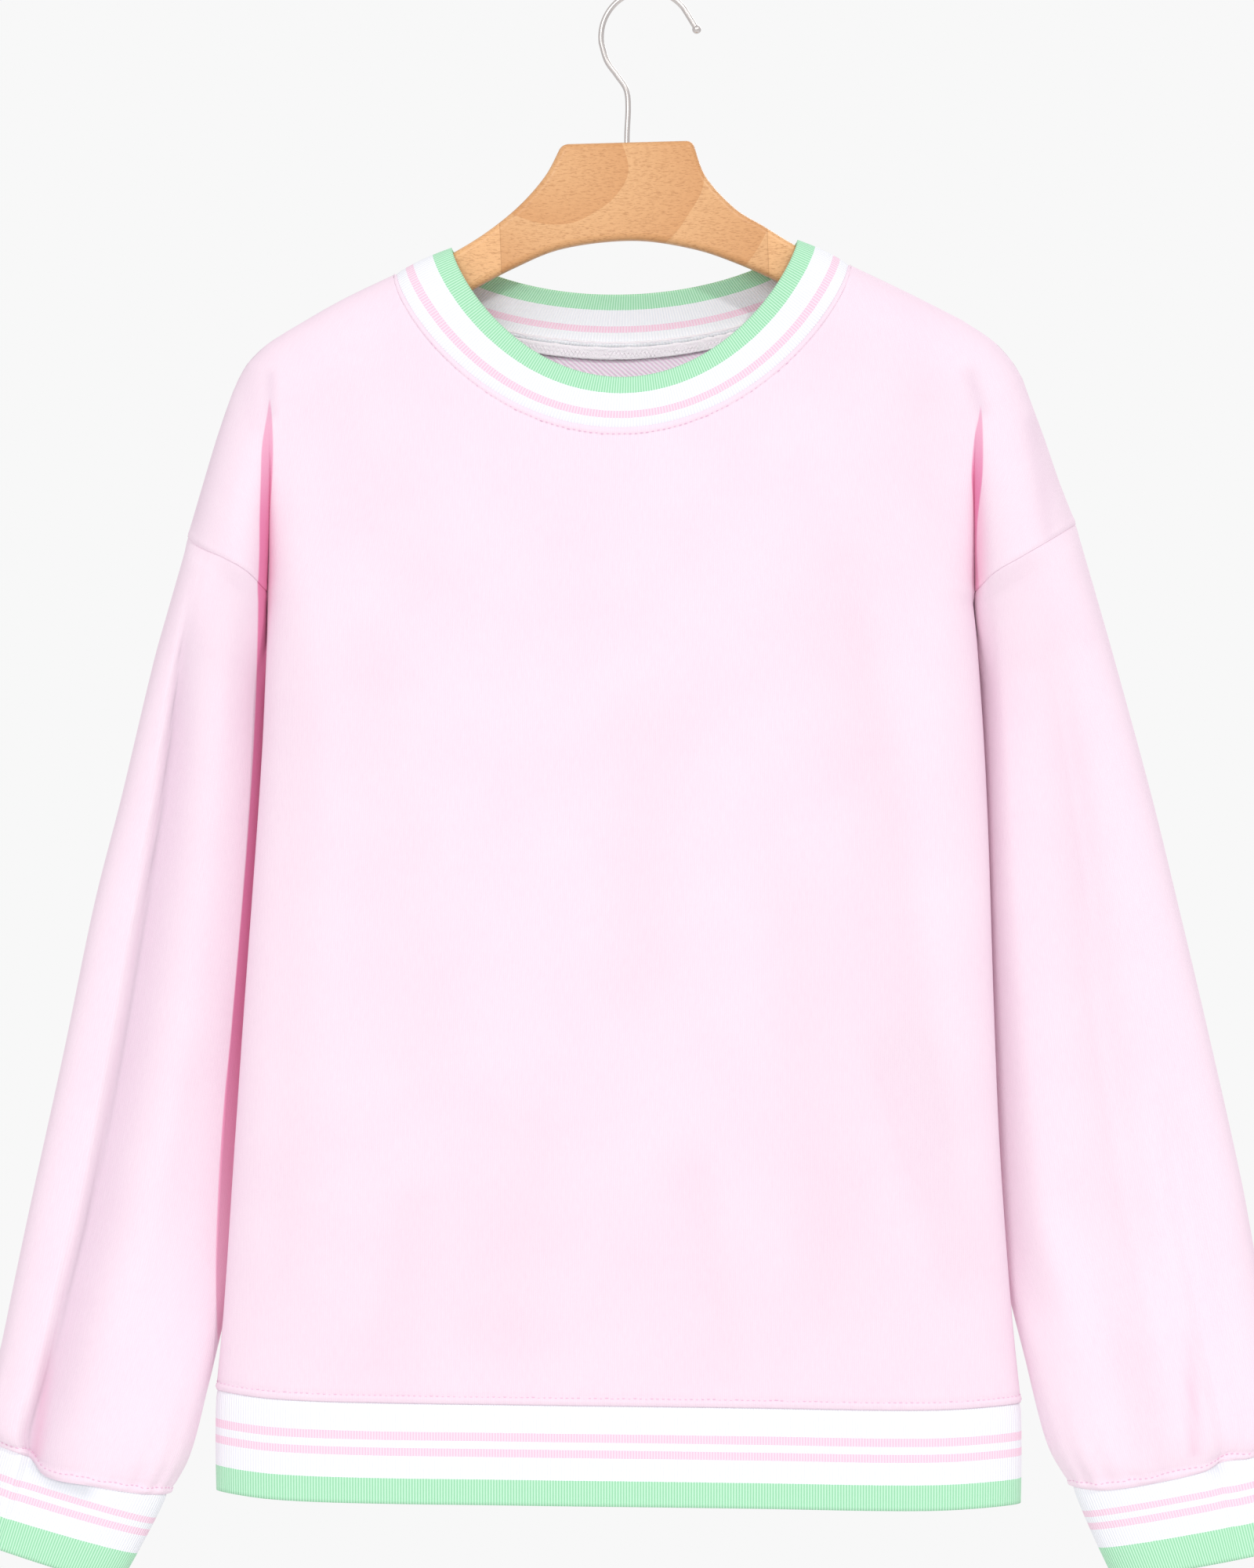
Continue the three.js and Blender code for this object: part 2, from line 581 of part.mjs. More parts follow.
const fleece = () => new THREE.MeshStandardMaterial({ color: 0xfce8f5, roughness: 0.95, metalness: 0 });
const rib = () => new THREE.MeshStandardMaterial({ color: 0xf6f8fc, roughness: 0.9, metalness: 0 });
const overlock = () => new THREE.MeshStandardMaterial({ color: 0xfbf0f8, roughness: 0.95, metalness: 0 });
const beech = () => new THREE.MeshStandardMaterial({ color: 0xe2b07e, roughness: 0.5, metalness: 0 });
const nickel = () => new THREE.MeshStandardMaterial({ color: 0xd8d4d0, roughness: 0.3, metalness: 1 });

const group = new THREE.Group();
const front = panel('front');
const back = panel('back');
group.add(mesh('front_panel', wall(front, clothThickness), fleece()));
group.add(mesh('back_panel', wall(back, clothThickness), fleece()));

// Sleeves and cuffs. A ring starts at the outer edge and goes round by the front
for (const side of ['right', 'left']) {
  const rims = [front, back].map((sheet) => {
    const [edge, inner] = [sheet[side][0], sheet[side][1]].map((row) => [...row].reverse());
    return rimOf(sheet, edge, inner);
  });
  const sleeve = sleeveSheet(side, joinRims(...rims));
  group.add(mesh(`sleeve_${side}`, wall(sleeve, clothThickness), fleece()));
  const wrist = rimOf(sleeve, sleeve.rings[sleeveRows], sleeve.rings[sleeveRows - 1]);
  for (const rim of wrist) rim.out.set(wristLean[side], 0, -1).normalize();
  const end = sleeveRing({ ...cuffEnds[side], outY: 0, inY: 0, thin: 0 }, wrist.length, [], 1);
  group.add(mesh(`cuff_${side}`, wall(band(wrist, end, side === 'right', bandFullness.cuff), clothThickness), rib()));
}

// Hem band: all round the lower edge of the body, a little longer behind
const hemRim = joinRims(...[front, back].map((sheet) => rimOf(sheet, sheet.body[0], sheet.body[1])));
for (const rim of hemRim) rim.out.set(0, 0, -1);
const hemEdge = hemRim.map(({ point }) => {
  const longer = hemBackDrop * smoothStep(point.y / bodyDepths[0].back);
  return new THREE.Vector3(point.x, point.y * hemNarrowing, point.z - hemBandWidth - longer);
});
group.add(mesh('hem_rib', wall(band(hemRim, hemEdge, true, bandFullness.hem), clothThickness), rib()));

// Neckband: all round the neckline, up to its free edge
const neckColumns = Array.from({ length: neckSteps + 1 }, (_, i) => shoulderSteps + i);
const neckRim = joinRims(...[front, back].map((sheet) => {
  const [edge, inner] = [bodyRows, bodyRows - 1].map((row) => neckColumns.map((c) => sheet.body[row][c]));
  return rimOf(sheet, edge, inner);
}));
const neckFree = neckRim.map((_, i) => {
  const isFront = i <= neckSteps;
  const share = isFront ? i / neckSteps : (2 * neckSteps - i) / neckSteps;
  const ends = [[neckEdge.rightX, neckEdge.rightZ], [neckEdge.leftX, neckEdge.leftZ]];
  const [x, z] = neckPoint(share, isFront ? neckEdge.frontDrop : neckEdge.backDrop, ...ends);
  const depth = isFront ? -neckEdge.frontDepth : neckEdge.backDepth;
  return new THREE.Vector3(x, depth * Math.sin(Math.PI * endsCloser(share, neckline.closer)) ** neckEdge.fullness, z);
});
neckRim.forEach((rim, i) => rim.out.copy(neckFree[i]).sub(rim.point).normalize());
group.add(mesh('neck_rib', wall(band(neckRim, neckFree, false, bandFullness.neck), clothThickness), rib()));

// Seam allowance: a narrow strip that hangs inside the back panel, just under the neck seam
const stripColumns = neckColumns.slice(allowance.skip, -allowance.skip);
const strip = newSheet();
addGrid(strip, 2, stripColumns.length - 1, { flip: true }, (row, column) => {
  const [top, below] = [bodyRows, bodyRows - 1].map((r) => back.body[r][stripColumns[column]]);
  const down = back.points[below].clone().sub(back.points[top]).normalize();
  const inward = back.normals[top].clone().lerp(back.normals[below], row / 2).normalize().negate();
  const clear = (clothThickness + allowance.thickness) / 2 + allowance.clear;
  const place = back.points[top].clone().addScaledVector(down, allowance.width * row / 2);
  return place.addScaledVector(inward, clear);
});
findNormals(strip);
group.add(mesh('back_neck_seam', wall(strip, allowance.thickness), overlock()));

function toManifold(geometry) {
  const plain = geometry.clone();
  plain.deleteAttribute('normal');
  plain.deleteAttribute('uv');
  const merged = mergeVertices(plain, 1e-4);
  return new wasm.Manifold(new wasm.Mesh({
    numProp: 3,
    vertProperties: new Float32Array(merged.attributes.position.array),
    triVerts: new Uint32Array(merged.index.array),
  }));
}

function toGeometry(solid) {
  const result = solid.getMesh();
  const geometry = new THREE.BufferGeometry();
  geometry.setAttribute('position', new THREE.Float32BufferAttribute(result.vertProperties, 3));
  geometry.setIndex([...result.triVerts]);
  return geometry;
}

// Hanger: neck with a flat top, concave flanks, straight arms with round ends, arched underside
function hangerGeometry() {
  const point = (x, z) => new THREE.Vector2(x, z);
  const outline = new THREE.Shape();
  outline.moveTo(-42, -80.9);
  outline.lineTo(20.4, -79.2);
  outline.quadraticCurveTo(24.4, -79, 25.4, -83);
  outline.splineThru([point(31.6, -98.8), point(47, -115.4), point(62.6, -125), point(79, -135), point(108, -151.2)]);
  outline.splineThru([point(138, -165.2), point(168, -180.2)]);
  outline.splineThru([point(182.6, -189.8), point(190.4, -198.4), point(190.6, -207), point(184, -213.4),
    point(174, -212.4)]);
  outline.lineTo(92, -166.4);
  outline.splineThru([point(71.8, -155.4), point(48, -144.6), point(23.5, -136.6), point(-8, -132.4),
    point(-44.9, -136.6), point(-72, -147.4), point(-94.9, -159.6)]);
  outline.lineTo(-192, -215.6);
  outline.splineThru([point(-202, -216.8), point(-209.2, -210.6), point(-209.2, -201.4), point(-202.4, -193.2)]);
  outline.splineThru([point(-193, -186.8), point(-164, -170), point(-134, -155.4)]);
  outline.splineThru([point(-105.4, -140), point(-85.7, -127.8), point(-68.5, -113.8), point(-55, -98.4),
    point(-47.6, -84.8)]);
  outline.quadraticCurveTo(-46.2, -81.1, -42, -80.9);
  const geometry = new THREE.ExtrudeGeometry(outline, {
    depth: hangerThickness - 2 * hangerEdgeRound,
    curveSegments: 2,
    bevelThickness: hangerEdgeRound,
    bevelSize: hangerEdgeRound,
    bevelOffset: -hangerEdgeRound,
    bevelSegments: 2,
  });
  geometry.translate(0, 0, -(hangerThickness / 2 - hangerEdgeRound));
  geometry.rotateX(Math.PI / 2);
  return geometry;
}

const stemX = -10.9;
const socketTop = -70;
const hangerTop = -80;
const socketHeight = socketTop - (hangerTop - socketDepth);
const socket = new THREE.CylinderGeometry(socketRadius, socketRadius, socketHeight, 12);
socket.rotateX(Math.PI / 2);
socket.translate(stemX, 0, socketTop - socketHeight / 2);
const hangerSolid = toManifold(hangerGeometry()).subtract(toManifold(socket));
group.add(mesh('hanger', toGeometry(hangerSolid), beech()));

// Hook: stem, bend, open circle and a straight tip
const hookRoute = [[stemX, hangerTop - socketDepth + seamGap], [stemX, -76], [-10.3, -60], [-11.4, -51.4],
  [-16.4, -43.8], [-21.6, -36.4]];
for (let angle = hookTurn.from; angle > hookTurn.to; angle -= hookTurn.step) {
  const turn = THREE.MathUtils.degToRad(angle);
  hookRoute.push([hookRadius * Math.cos(turn), hookMiddleZ + hookRadius * Math.sin(turn)]);
}
hookRoute.push([tip.x, tip.z]);
const wireCurve = new THREE.CatmullRomCurve3(hookRoute.map(([x, z]) => new THREE.Vector3(x, 0, z)));
const wireSection = new THREE.Shape();
wireSection.absarc(0, 0, wireRadius, 0, 2 * Math.PI);
const wire = new THREE.ExtrudeGeometry(wireSection, { steps: 44, curveSegments: 4, extrudePath: wireCurve });
const ball = new THREE.SphereGeometry(tip.radius, 10, 8);
ball.translate(tip.x, 0, tip.z);
group.add(mesh('hook', toGeometry(toManifold(wire).add(toManifold(ball))), nickel()));

export default group;
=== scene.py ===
# Pink crewneck sweatshirt with striped ribs, hung on a beech hanger with a nickel hook.
# Tables are in millimetres, as the part's source has them, and become metres in the meshes.
import json
from functools import partial
import bpy
import numpy as np
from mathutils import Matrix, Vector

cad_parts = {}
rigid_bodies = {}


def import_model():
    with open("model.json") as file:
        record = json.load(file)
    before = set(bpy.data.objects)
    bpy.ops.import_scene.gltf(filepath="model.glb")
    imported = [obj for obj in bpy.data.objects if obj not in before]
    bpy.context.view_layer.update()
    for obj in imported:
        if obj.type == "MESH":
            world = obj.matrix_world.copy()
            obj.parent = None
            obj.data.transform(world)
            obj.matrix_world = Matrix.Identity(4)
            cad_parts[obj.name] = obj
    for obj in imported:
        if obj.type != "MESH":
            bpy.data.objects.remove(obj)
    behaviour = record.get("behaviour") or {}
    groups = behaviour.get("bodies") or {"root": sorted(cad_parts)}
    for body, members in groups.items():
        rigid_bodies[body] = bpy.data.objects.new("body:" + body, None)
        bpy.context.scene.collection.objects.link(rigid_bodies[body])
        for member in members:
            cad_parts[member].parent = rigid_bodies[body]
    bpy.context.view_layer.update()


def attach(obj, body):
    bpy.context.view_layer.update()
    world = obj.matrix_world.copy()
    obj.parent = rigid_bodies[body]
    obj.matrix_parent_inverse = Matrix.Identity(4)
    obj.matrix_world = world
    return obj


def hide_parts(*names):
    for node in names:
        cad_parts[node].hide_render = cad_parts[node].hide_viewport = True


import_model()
mm = 0.001
print("stage: frame loaded")


# Camera
# The photograph shows 672 x 840 mm at the middle plane of the garment, seen almost level.
cameraPlace = dict(x=-10.9, z=-423.5, distance=3500.0, shownHeight=840.0, sensor=36.0,
                   farthest=60000.0)
cameraData = bpy.data.cameras.new("photoCamera")
cameraData.sensor_fit = "VERTICAL"
cameraData.sensor_height = cameraPlace["sensor"]
cameraData.lens = cameraPlace["sensor"] * cameraPlace["distance"] / cameraPlace["shownHeight"]
cameraData.clip_end = cameraPlace["farthest"] * mm
camera = bpy.data.objects.new("photoCamera", cameraData)
camera.location = (cameraPlace["x"] * mm, -cameraPlace["distance"] * mm, cameraPlace["z"] * mm)
camera.rotation_euler = (np.pi / 2, 0, 0)
bpy.context.scene.collection.objects.link(camera)
bpy.context.scene.camera = camera


# Numbers and curves
def smoothStep(value):
    # t*t*(3 - 2t), with t held between 0 and 1
    t = np.clip(value, 0, 1)
    return t * t * (3 - 2 * t)


def roundEdge(value):
    # a quarter ellipse: sqrt(1 - (1 - t)^2), 0 at the edge and 1 where the cloth has turned flat
    t = np.clip(value, 0, 1)
    return np.sqrt(1 - (1 - t) ** 2)


def fromTable(keys, values, at):
    # cubic Hermite curve through the rows, its slope at a row taken from the rows on both sides
    keys = np.asarray(keys, float)
    values = np.asarray(values, float)
    if keys[0] > keys[-1]:
        keys, values = keys[::-1], values[::-1]
    last = len(keys) - 1
    rows = np.arange(last + 1)
    before, after = np.maximum(rows - 1, 0), np.minimum(rows + 1, last)
    slopes = (values[after] - values[before]) / (keys[after] - keys[before])
    at = np.clip(at, keys[0], keys[-1])
    i = np.clip(np.searchsorted(keys, at, side="right") - 1, 0, last - 1)
    span = keys[i + 1] - keys[i]
    t = (at - keys[i]) / span
    return (values[i] * (1 + 2 * t) * (1 - t) ** 2 + slopes[i] * span * t * (1 - t) ** 2
            + values[i + 1] * t * t * (3 - 2 * t) + slopes[i + 1] * span * t * t * (t - 1))


def readTable(table, column, at, key=0):
    # one column of a table at places between its rows, which the key column gives
    table = np.array(table, float)
    return fromTable(table[:, key], table[:, column], at)


def atPlaces(at, places, values):
    # each column of values at places between its rows, straight from row to row
    return np.stack([np.interp(at, places, values[:, k]) for k in range(values.shape[1])], -1)


def alongLine(corners, share):
    # place at a share of the length of a smooth line through the corners
    corners = np.asarray(corners, float)
    lengths = np.r_[0, np.cumsum(np.hypot(*np.diff(corners, axis=0).T))]
    at = np.asarray(share, float) * lengths[-1]
    return np.stack([fromTable(lengths, corners[:, 0], at), fromTable(lengths, corners[:, 1], at)], -1)


def distanceTo(corners, x, z):
    # least distance in the front view to the straight stretches between the corners
    nearest = np.full(np.shape(x), np.inf)
    for (ax, az), (bx, bz) in zip(corners[:-1], corners[1:]):
        dx, dz = bx - ax, bz - az
        t = np.clip(((x - ax) * dx + (z - az) * dz) / (dx * dx + dz * dz), 0, 1)
        nearest = np.minimum(nearest, np.hypot(x - ax - dx * t, z - az - dz * t))
    return nearest


def endsCloser(share, amount):
    # share - amount * sin(2 pi share) / 2 pi
    return share - amount * np.sin(2 * np.pi * share) / (2 * np.pi)


def gradual(first, last, count, extras=()):
    # even steps with a few more places beside a seam
    return np.unique(np.round(np.r_[np.linspace(first, last, count + 1), extras], 5))


# Meshes
def unit(vectors):
    return vectors / np.maximum(np.linalg.norm(vectors, axis=-1, keepdims=True), 1e-12)


def gridFaces(ids, flip=False):
    # four corners of each cell of a grid of point numbers
    corners = [ids[..., :-1, :-1], ids[..., :-1, 1:], ids[..., 1:, 1:], ids[..., 1:, :-1]]
    quads = np.stack(corners, -1).reshape(-1, 4)
    return quads[:, ::-1] if flip else quads


def pointNormals(points, faces):
    # sum over the faces round a point of the cross product of their diagonals
    cross = np.cross(points[faces[:, 2]] - points[faces[:, 0]], points[faces[:, 3]] - points[faces[:, 1]])
    normals = np.zeros_like(points)
    for k in range(4):
        np.add.at(normals, faces[:, k], cross)
    return unit(normals)


def newPiece(name, points, faces, materials, uv=None, uvFaces=None, attributes=None, caps=(), flatCaps=False):
    # a mesh object from arrays in millimetres; uv has its own face numbers, so a tube's seam stays closed
    mesh = bpy.data.meshes.new(name)
    mesh.from_pydata((points * mm).tolist(), [], faces.tolist() + list(caps))
    if uv is not None:
        layer = mesh.uv_layers.new(name="cloth")
        layer.data.foreach_set("uv", uv[uvFaces.reshape(-1)].reshape(-1).astype(np.float32))
    for key, values in (attributes or {}).items():
        mesh.attributes.new(key, "FLOAT", "POINT").data.foreach_set("value", values.astype(np.float32))
    smooth = np.ones(len(mesh.polygons), bool)
    smooth[len(faces):] = not flatCaps
    mesh.polygons.foreach_set("use_smooth", smooth)
    mesh.update()
    for material in materials:
        mesh.materials.append(material)
    piece = bpy.data.objects.new(name, mesh)
    bpy.context.scene.collection.objects.link(piece)
    return piece


def giveThickness(piece, thickness, innerMaterial=0):
    # half of the wall on each side of the sheet
    solidify = piece.modifiers.new("clothThickness", "SOLIDIFY")
    solidify.thickness = thickness * mm
    solidify.offset = 0
    solidify.material_offset = innerMaterial
    solidify.use_quality_normals = True


def rideAs(piece, node=None):
    # the piece belongs to the one body, and takes the solid's place where it has one
    if node:
        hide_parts(node)
    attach(piece, "root")


# painted shade of a jersey piece at each point: deeper pink painted in folds and creases, grey shade painted,
# the distance past the line where the body's painted shadow starts, and how strong that painted shadow is
shadeNames = ("inFold", "inShade", "pastEdge", "underEdge")


# Materials
def linear(hexColor):
    # sRGB hex to linear: ((c + 0.055) / 1.055)^2.4 above 0.04045, and c / 12.92 below
    c = np.array([int(hexColor[i:i + 2], 16) / 255 for i in (1, 3, 5)])
    return (*np.where(c > 0.04045, ((c + 0.055) / 1.055) ** 2.4, c / 12.92), 1.0)


def addNode(tree, kind, given):
    # one node: what is given is its own value, a socket's value, or the node or socket that feeds a socket
    node = tree.nodes.new("ShaderNode" + kind)
    for key, value in given.items():
        if isinstance(value, (bpy.types.Node, bpy.types.NodeSocket)):
            tree.links.new(getattr(value, "outputs", [value])[0], node.inputs[key])
        elif isinstance(key, str) and hasattr(node, key):
            setattr(node, key, value)
        else:
            node.inputs[key].default_value = value
    return node


def newMaterial(name):
    # a material and what adds a node to it
    material = bpy.data.materials.new(name)
    material.use_nodes = True
    material.node_tree.nodes.clear()
    return material, partial(addNode, material.node_tree)


def finishMaterial(material, given, height=None, bump=None):
    # the shader and its output; a height, where one is given, turns the shading as the bump's settings say
    tree = material.node_tree
    if bump:
        given = {**given, "Normal": addNode(tree, "Bump", {**bump, "Height": height})}
    addNode(tree, "OutputMaterial", {"Surface": addNode(tree, "BsdfPrincipled", given)})
    return material


def bands(add, source, stops):
    # hard-edged colour bands: the colour from each place on
    ramp = add("ValToRGB", {"Fac": source})
    ramp.color_ramp.interpolation = "CONSTANT"
    while len(ramp.color_ramp.elements) < len(stops):
        ramp.color_ramp.elements.new(0.5)
    for element, (place, color) in zip(ramp.color_ramp.elements, stops):
        element.position = place
        element.color = linear(color)
    return ramp


# wale is a distance in millimetres, slub, cloud and fuzz are noise scales; deep is a painted shade, the pink of
# folds and of the body's painted shadow, and the grey after it is painted shade in hollows, some of it over
# that shadow
jerseyLook = dict(pink="#F9E7F0", shade="#F1D8E6", deep="#F87FB0", paintedShade="#A98FA6", greyOverShadow=0.25,
                  wale=1.1, waleBump=0.16, waleTone=0.12, slub=0.9, slubStretch=(1.4, 0.16, 1.0),
                  cloud=0.02, fuzz=1.6)


def cottonJersey():
    # brushed cotton jersey, knitted fine and piece dyed: matt, with faint upright wales and a soft bloom
    look = jerseyLook
    material, add = newMaterial("cottonJerseyFace")
    place = add("UVMap", {"uv_map": "cloth"})
    axes = add("SeparateXYZ", {0: place})
    # wales 1.1 mm apart, coarser than the real 0.7 mm so that they show
    turns = add("Math", {"operation": "MULTIPLY", 1: 2 * np.pi / look["wale"], 0: axes.outputs["X"]})
    wale = add("Math", {"operation": "SINE", 0: turns})
    # slubs: yarn a little thicker here and there, drawn out along the wales
    drawn = add("Mapping", {"Scale": look["slubStretch"], "Vector": place})
    slub = add("TexNoise", {"Scale": look["slub"], "Detail": 4.0, "Roughness": 0.6, "Vector": drawn})
    cloud = add("TexNoise", {"Scale": look["cloud"], "Detail": 2.0, "Vector": place})
    fuzz = add("TexNoise", {"Scale": look["fuzz"], "Detail": 3.0, "Vector": place})
    tone = add("Math", {"operation": "MULTIPLY_ADD", 1: 0.9, 2: -0.25, 0: slub})
    tone = add("Math", {"operation": "MULTIPLY_ADD", 1: 0.5, 0: cloud, 2: tone})
    tone = add("Math", {"operation": "MULTIPLY_ADD", 1: look["waleTone"], 0: wale, 2: tone})
    pinks = {"Color1": linear(look["pink"]), "Color2": linear(look["shade"])}
    color = add("MixRGB", {**pinks, "Fac": tone})
    # painted shade: deep in a fold, where the light goes from wall to wall, the pink is painted stronger, and
    # the painted shadow of the body starts at a sharp line; the piece gives the distance past that line in
    # millimetres
    inFold, inShade, pastEdge, underEdge = [add("Attribute", {"attribute_name": name}).outputs["Fac"]
                                            for name in shadeNames]
    sharp = {"interpolation_type": "SMOOTHSTEP", "From Min": -0.5, "From Max": 0.5}
    past = add("MapRange", {**sharp, "Value": pastEdge})
    behind = add("Math", {"operation": "MULTIPLY", 0: past, 1: underEdge})
    depth = add("Math", {"operation": "MAXIMUM", 0: behind, 1: inFold})
    color = add("MixRGB", {"Color2": linear(look["deep"]), "Fac": depth, "Color1": color})
    # soft shade in hollows, greyer than the cloth
    paintedShade = add("Math", {"operation": "MULTIPLY_ADD", 1: look["greyOverShadow"], 0: behind, 2: inShade})
    color = add("MixRGB", {"Color2": linear(look["paintedShade"]), "Fac": paintedShade, "Color1": color})
    height = add("Math", {"operation": "MULTIPLY_ADD", 1: look["waleBump"], 0: wale, 2: fuzz})
    soft = {"Roughness": 0.92, "Sheen Weight": 0.12, "Sheen Roughness": 0.6, "IOR": 1.5,
            "Specular IOR Level": 0.2}
    return finishMaterial(material, {**soft, "Base Color": color}, height,
                          {"Strength": 0.3, "Distance": 0.0004})


def frenchTerry():
    # the looped back of the same knit: slanting rows of loops, a little deeper in colour
    material, add = newMaterial("frenchTerryBack")
    place = add("UVMap", {"uv_map": "cloth"})
    # rows 1.9 mm apart that slant 40 degrees
    turned = add("Mapping", {"Rotation": (0, 0, 0.7), "Vector": place})
    loops = {"bands_direction": "Y", "Scale": 0.165, "Distortion": 1.2, "Detail": 2.0, "Detail Scale": 2.0}
    rows = add("TexWave", {**loops, "Vector": turned}).outputs["Fac"]
    color = add("MixRGB", {"Color1": linear("#FBDCF1"), "Color2": linear("#FFFAFF"), "Fac": rows})
    return finishMaterial(material, {"Roughness": 0.95, "Specular IOR Level": 0.2, "Base Color": color}, rows,
                          {"Strength": 0.5, "Distance": 0.0005})


# in the grooves the white and mint are darker than on the ribs, a painted shade, and the pink is paler
ribLook = dict(ribs=dict(white="#FBFCFE", mint="#CBF6D8", pink="#F7CBDF"),
               grooves=dict(white="#EEF1F6", mint="#97DBAB", pink="#FAE6F0"), shade="#BFC4CB", bump=0.0005,
               tilt=0.35)


def stripedRib(name, width, stripes):
    # flat-knit rib in combed cotton: even upright ribs, yarn-dyed stripes that break into dashes on the ribs
    material, add = newMaterial(name)
    place = add("UVMap", {"uv_map": "cloth"})
    axes = add("SeparateXYZ", {0: place})
    turns = add("Math", {"operation": "MULTIPLY", 1: 2 * np.pi, 0: axes.outputs["X"]})
    wave = add("Math", {"operation": "COSINE", 0: turns})
    rise = add("Math", {"operation": "MULTIPLY_ADD", 1: 0.5, 2: 0.5, 0: wave})
    # the yarn changes a little higher or lower on each rib
    wobble = add("TexNoise", {"Scale": 0.8, "Detail": 2.0, "Vector": place})
    tilted = {"operation": "MULTIPLY_ADD", 1: ribLook["tilt"]}
    down = add("Math", {**tilted, 0: wobble, 2: axes.outputs["Y"]})
    down = add("Math", {"operation": "MULTIPLY", 1: 1 / width, 0: down})
    onRib, inGroove = [bands(add, down, [(at / width, ribLook[part][tone]) for at, tone in stripes])
                       for part in ("ribs", "grooves")]
    # the groove colours between the ribs, for white and mint a painted shade
    color = add("MixRGB", {"Fac": rise, "Color1": inGroove, "Color2": onRib})
    # soft shade under a sleeve's end
    paintedShade = add("Attribute", {"attribute_name": "inShade"}).outputs["Fac"]
    color = add("MixRGB", {"Color2": linear(ribLook["shade"]), "Fac": paintedShade, "Color1": color})
    soft = {"Roughness": 0.9, "Sheen Weight": 0.15, "Sheen Roughness": 0.5, "Specular IOR Level": 0.25}
    return finishMaterial(material, {**soft, "Base Color": color}, rise,
                          {"Strength": 0.5, "Distance": ribLook["bump"]})


def overlockThread():
    # textured polyester thread over a cut edge: whitish pink, matt and fuzzy
    material, add = newMaterial("overlockThread")
    place = add("TexCoord", {}).outputs["Object"]
    fuzz = add("TexNoise", {"Scale": 900.0, "Detail": 3.0, "Vector": place})
    color = add("MixRGB", {"Color1": linear("#FBF0F8"), "Color2": linear("#FFFFFF"), "Fac": fuzz})
    return finishMaterial(material, {"Roughness": 0.95, "Sheen Weight": 0.3, "Base Color": color}, fuzz,
                          {"Strength": 0.8, "Distance": 0.0006})


def sewingThread():
    # spun polyester sewing thread, dyed to match the cloth
    material, add = newMaterial("sewingThread")
    place = add("TexCoord", {}).outputs["Object"]
    twist = add("TexNoise", {"Scale": 2500.0, "Detail": 1.0, "Vector": place})
    color = add("MixRGB", {"Color1": linear("#E2A8CB"), "Color2": linear("#F2CBE1"), "Fac": twist})
    return finishMaterial(material, {"Roughness": 0.6, "Sheen Weight": 0.1, "Base Color": color})


# heart is the middle of the growth rings, x and z; the arms are glued on at jointHalf from jointMiddle
beechLook = dict(heart=(-53.0, -94.0), flatten=1.35, ringScale=7.5, jointMiddle=-12.5, jointHalf=71.5,
                 jointWidth=0.35, early="#E4B079", late="#D89D64", fineLine="#C98F56", fineShare=0.12,
                 arm="#ECB67D", glue="#A9713F", fleck="#B0743F", fleckShare=0.55)


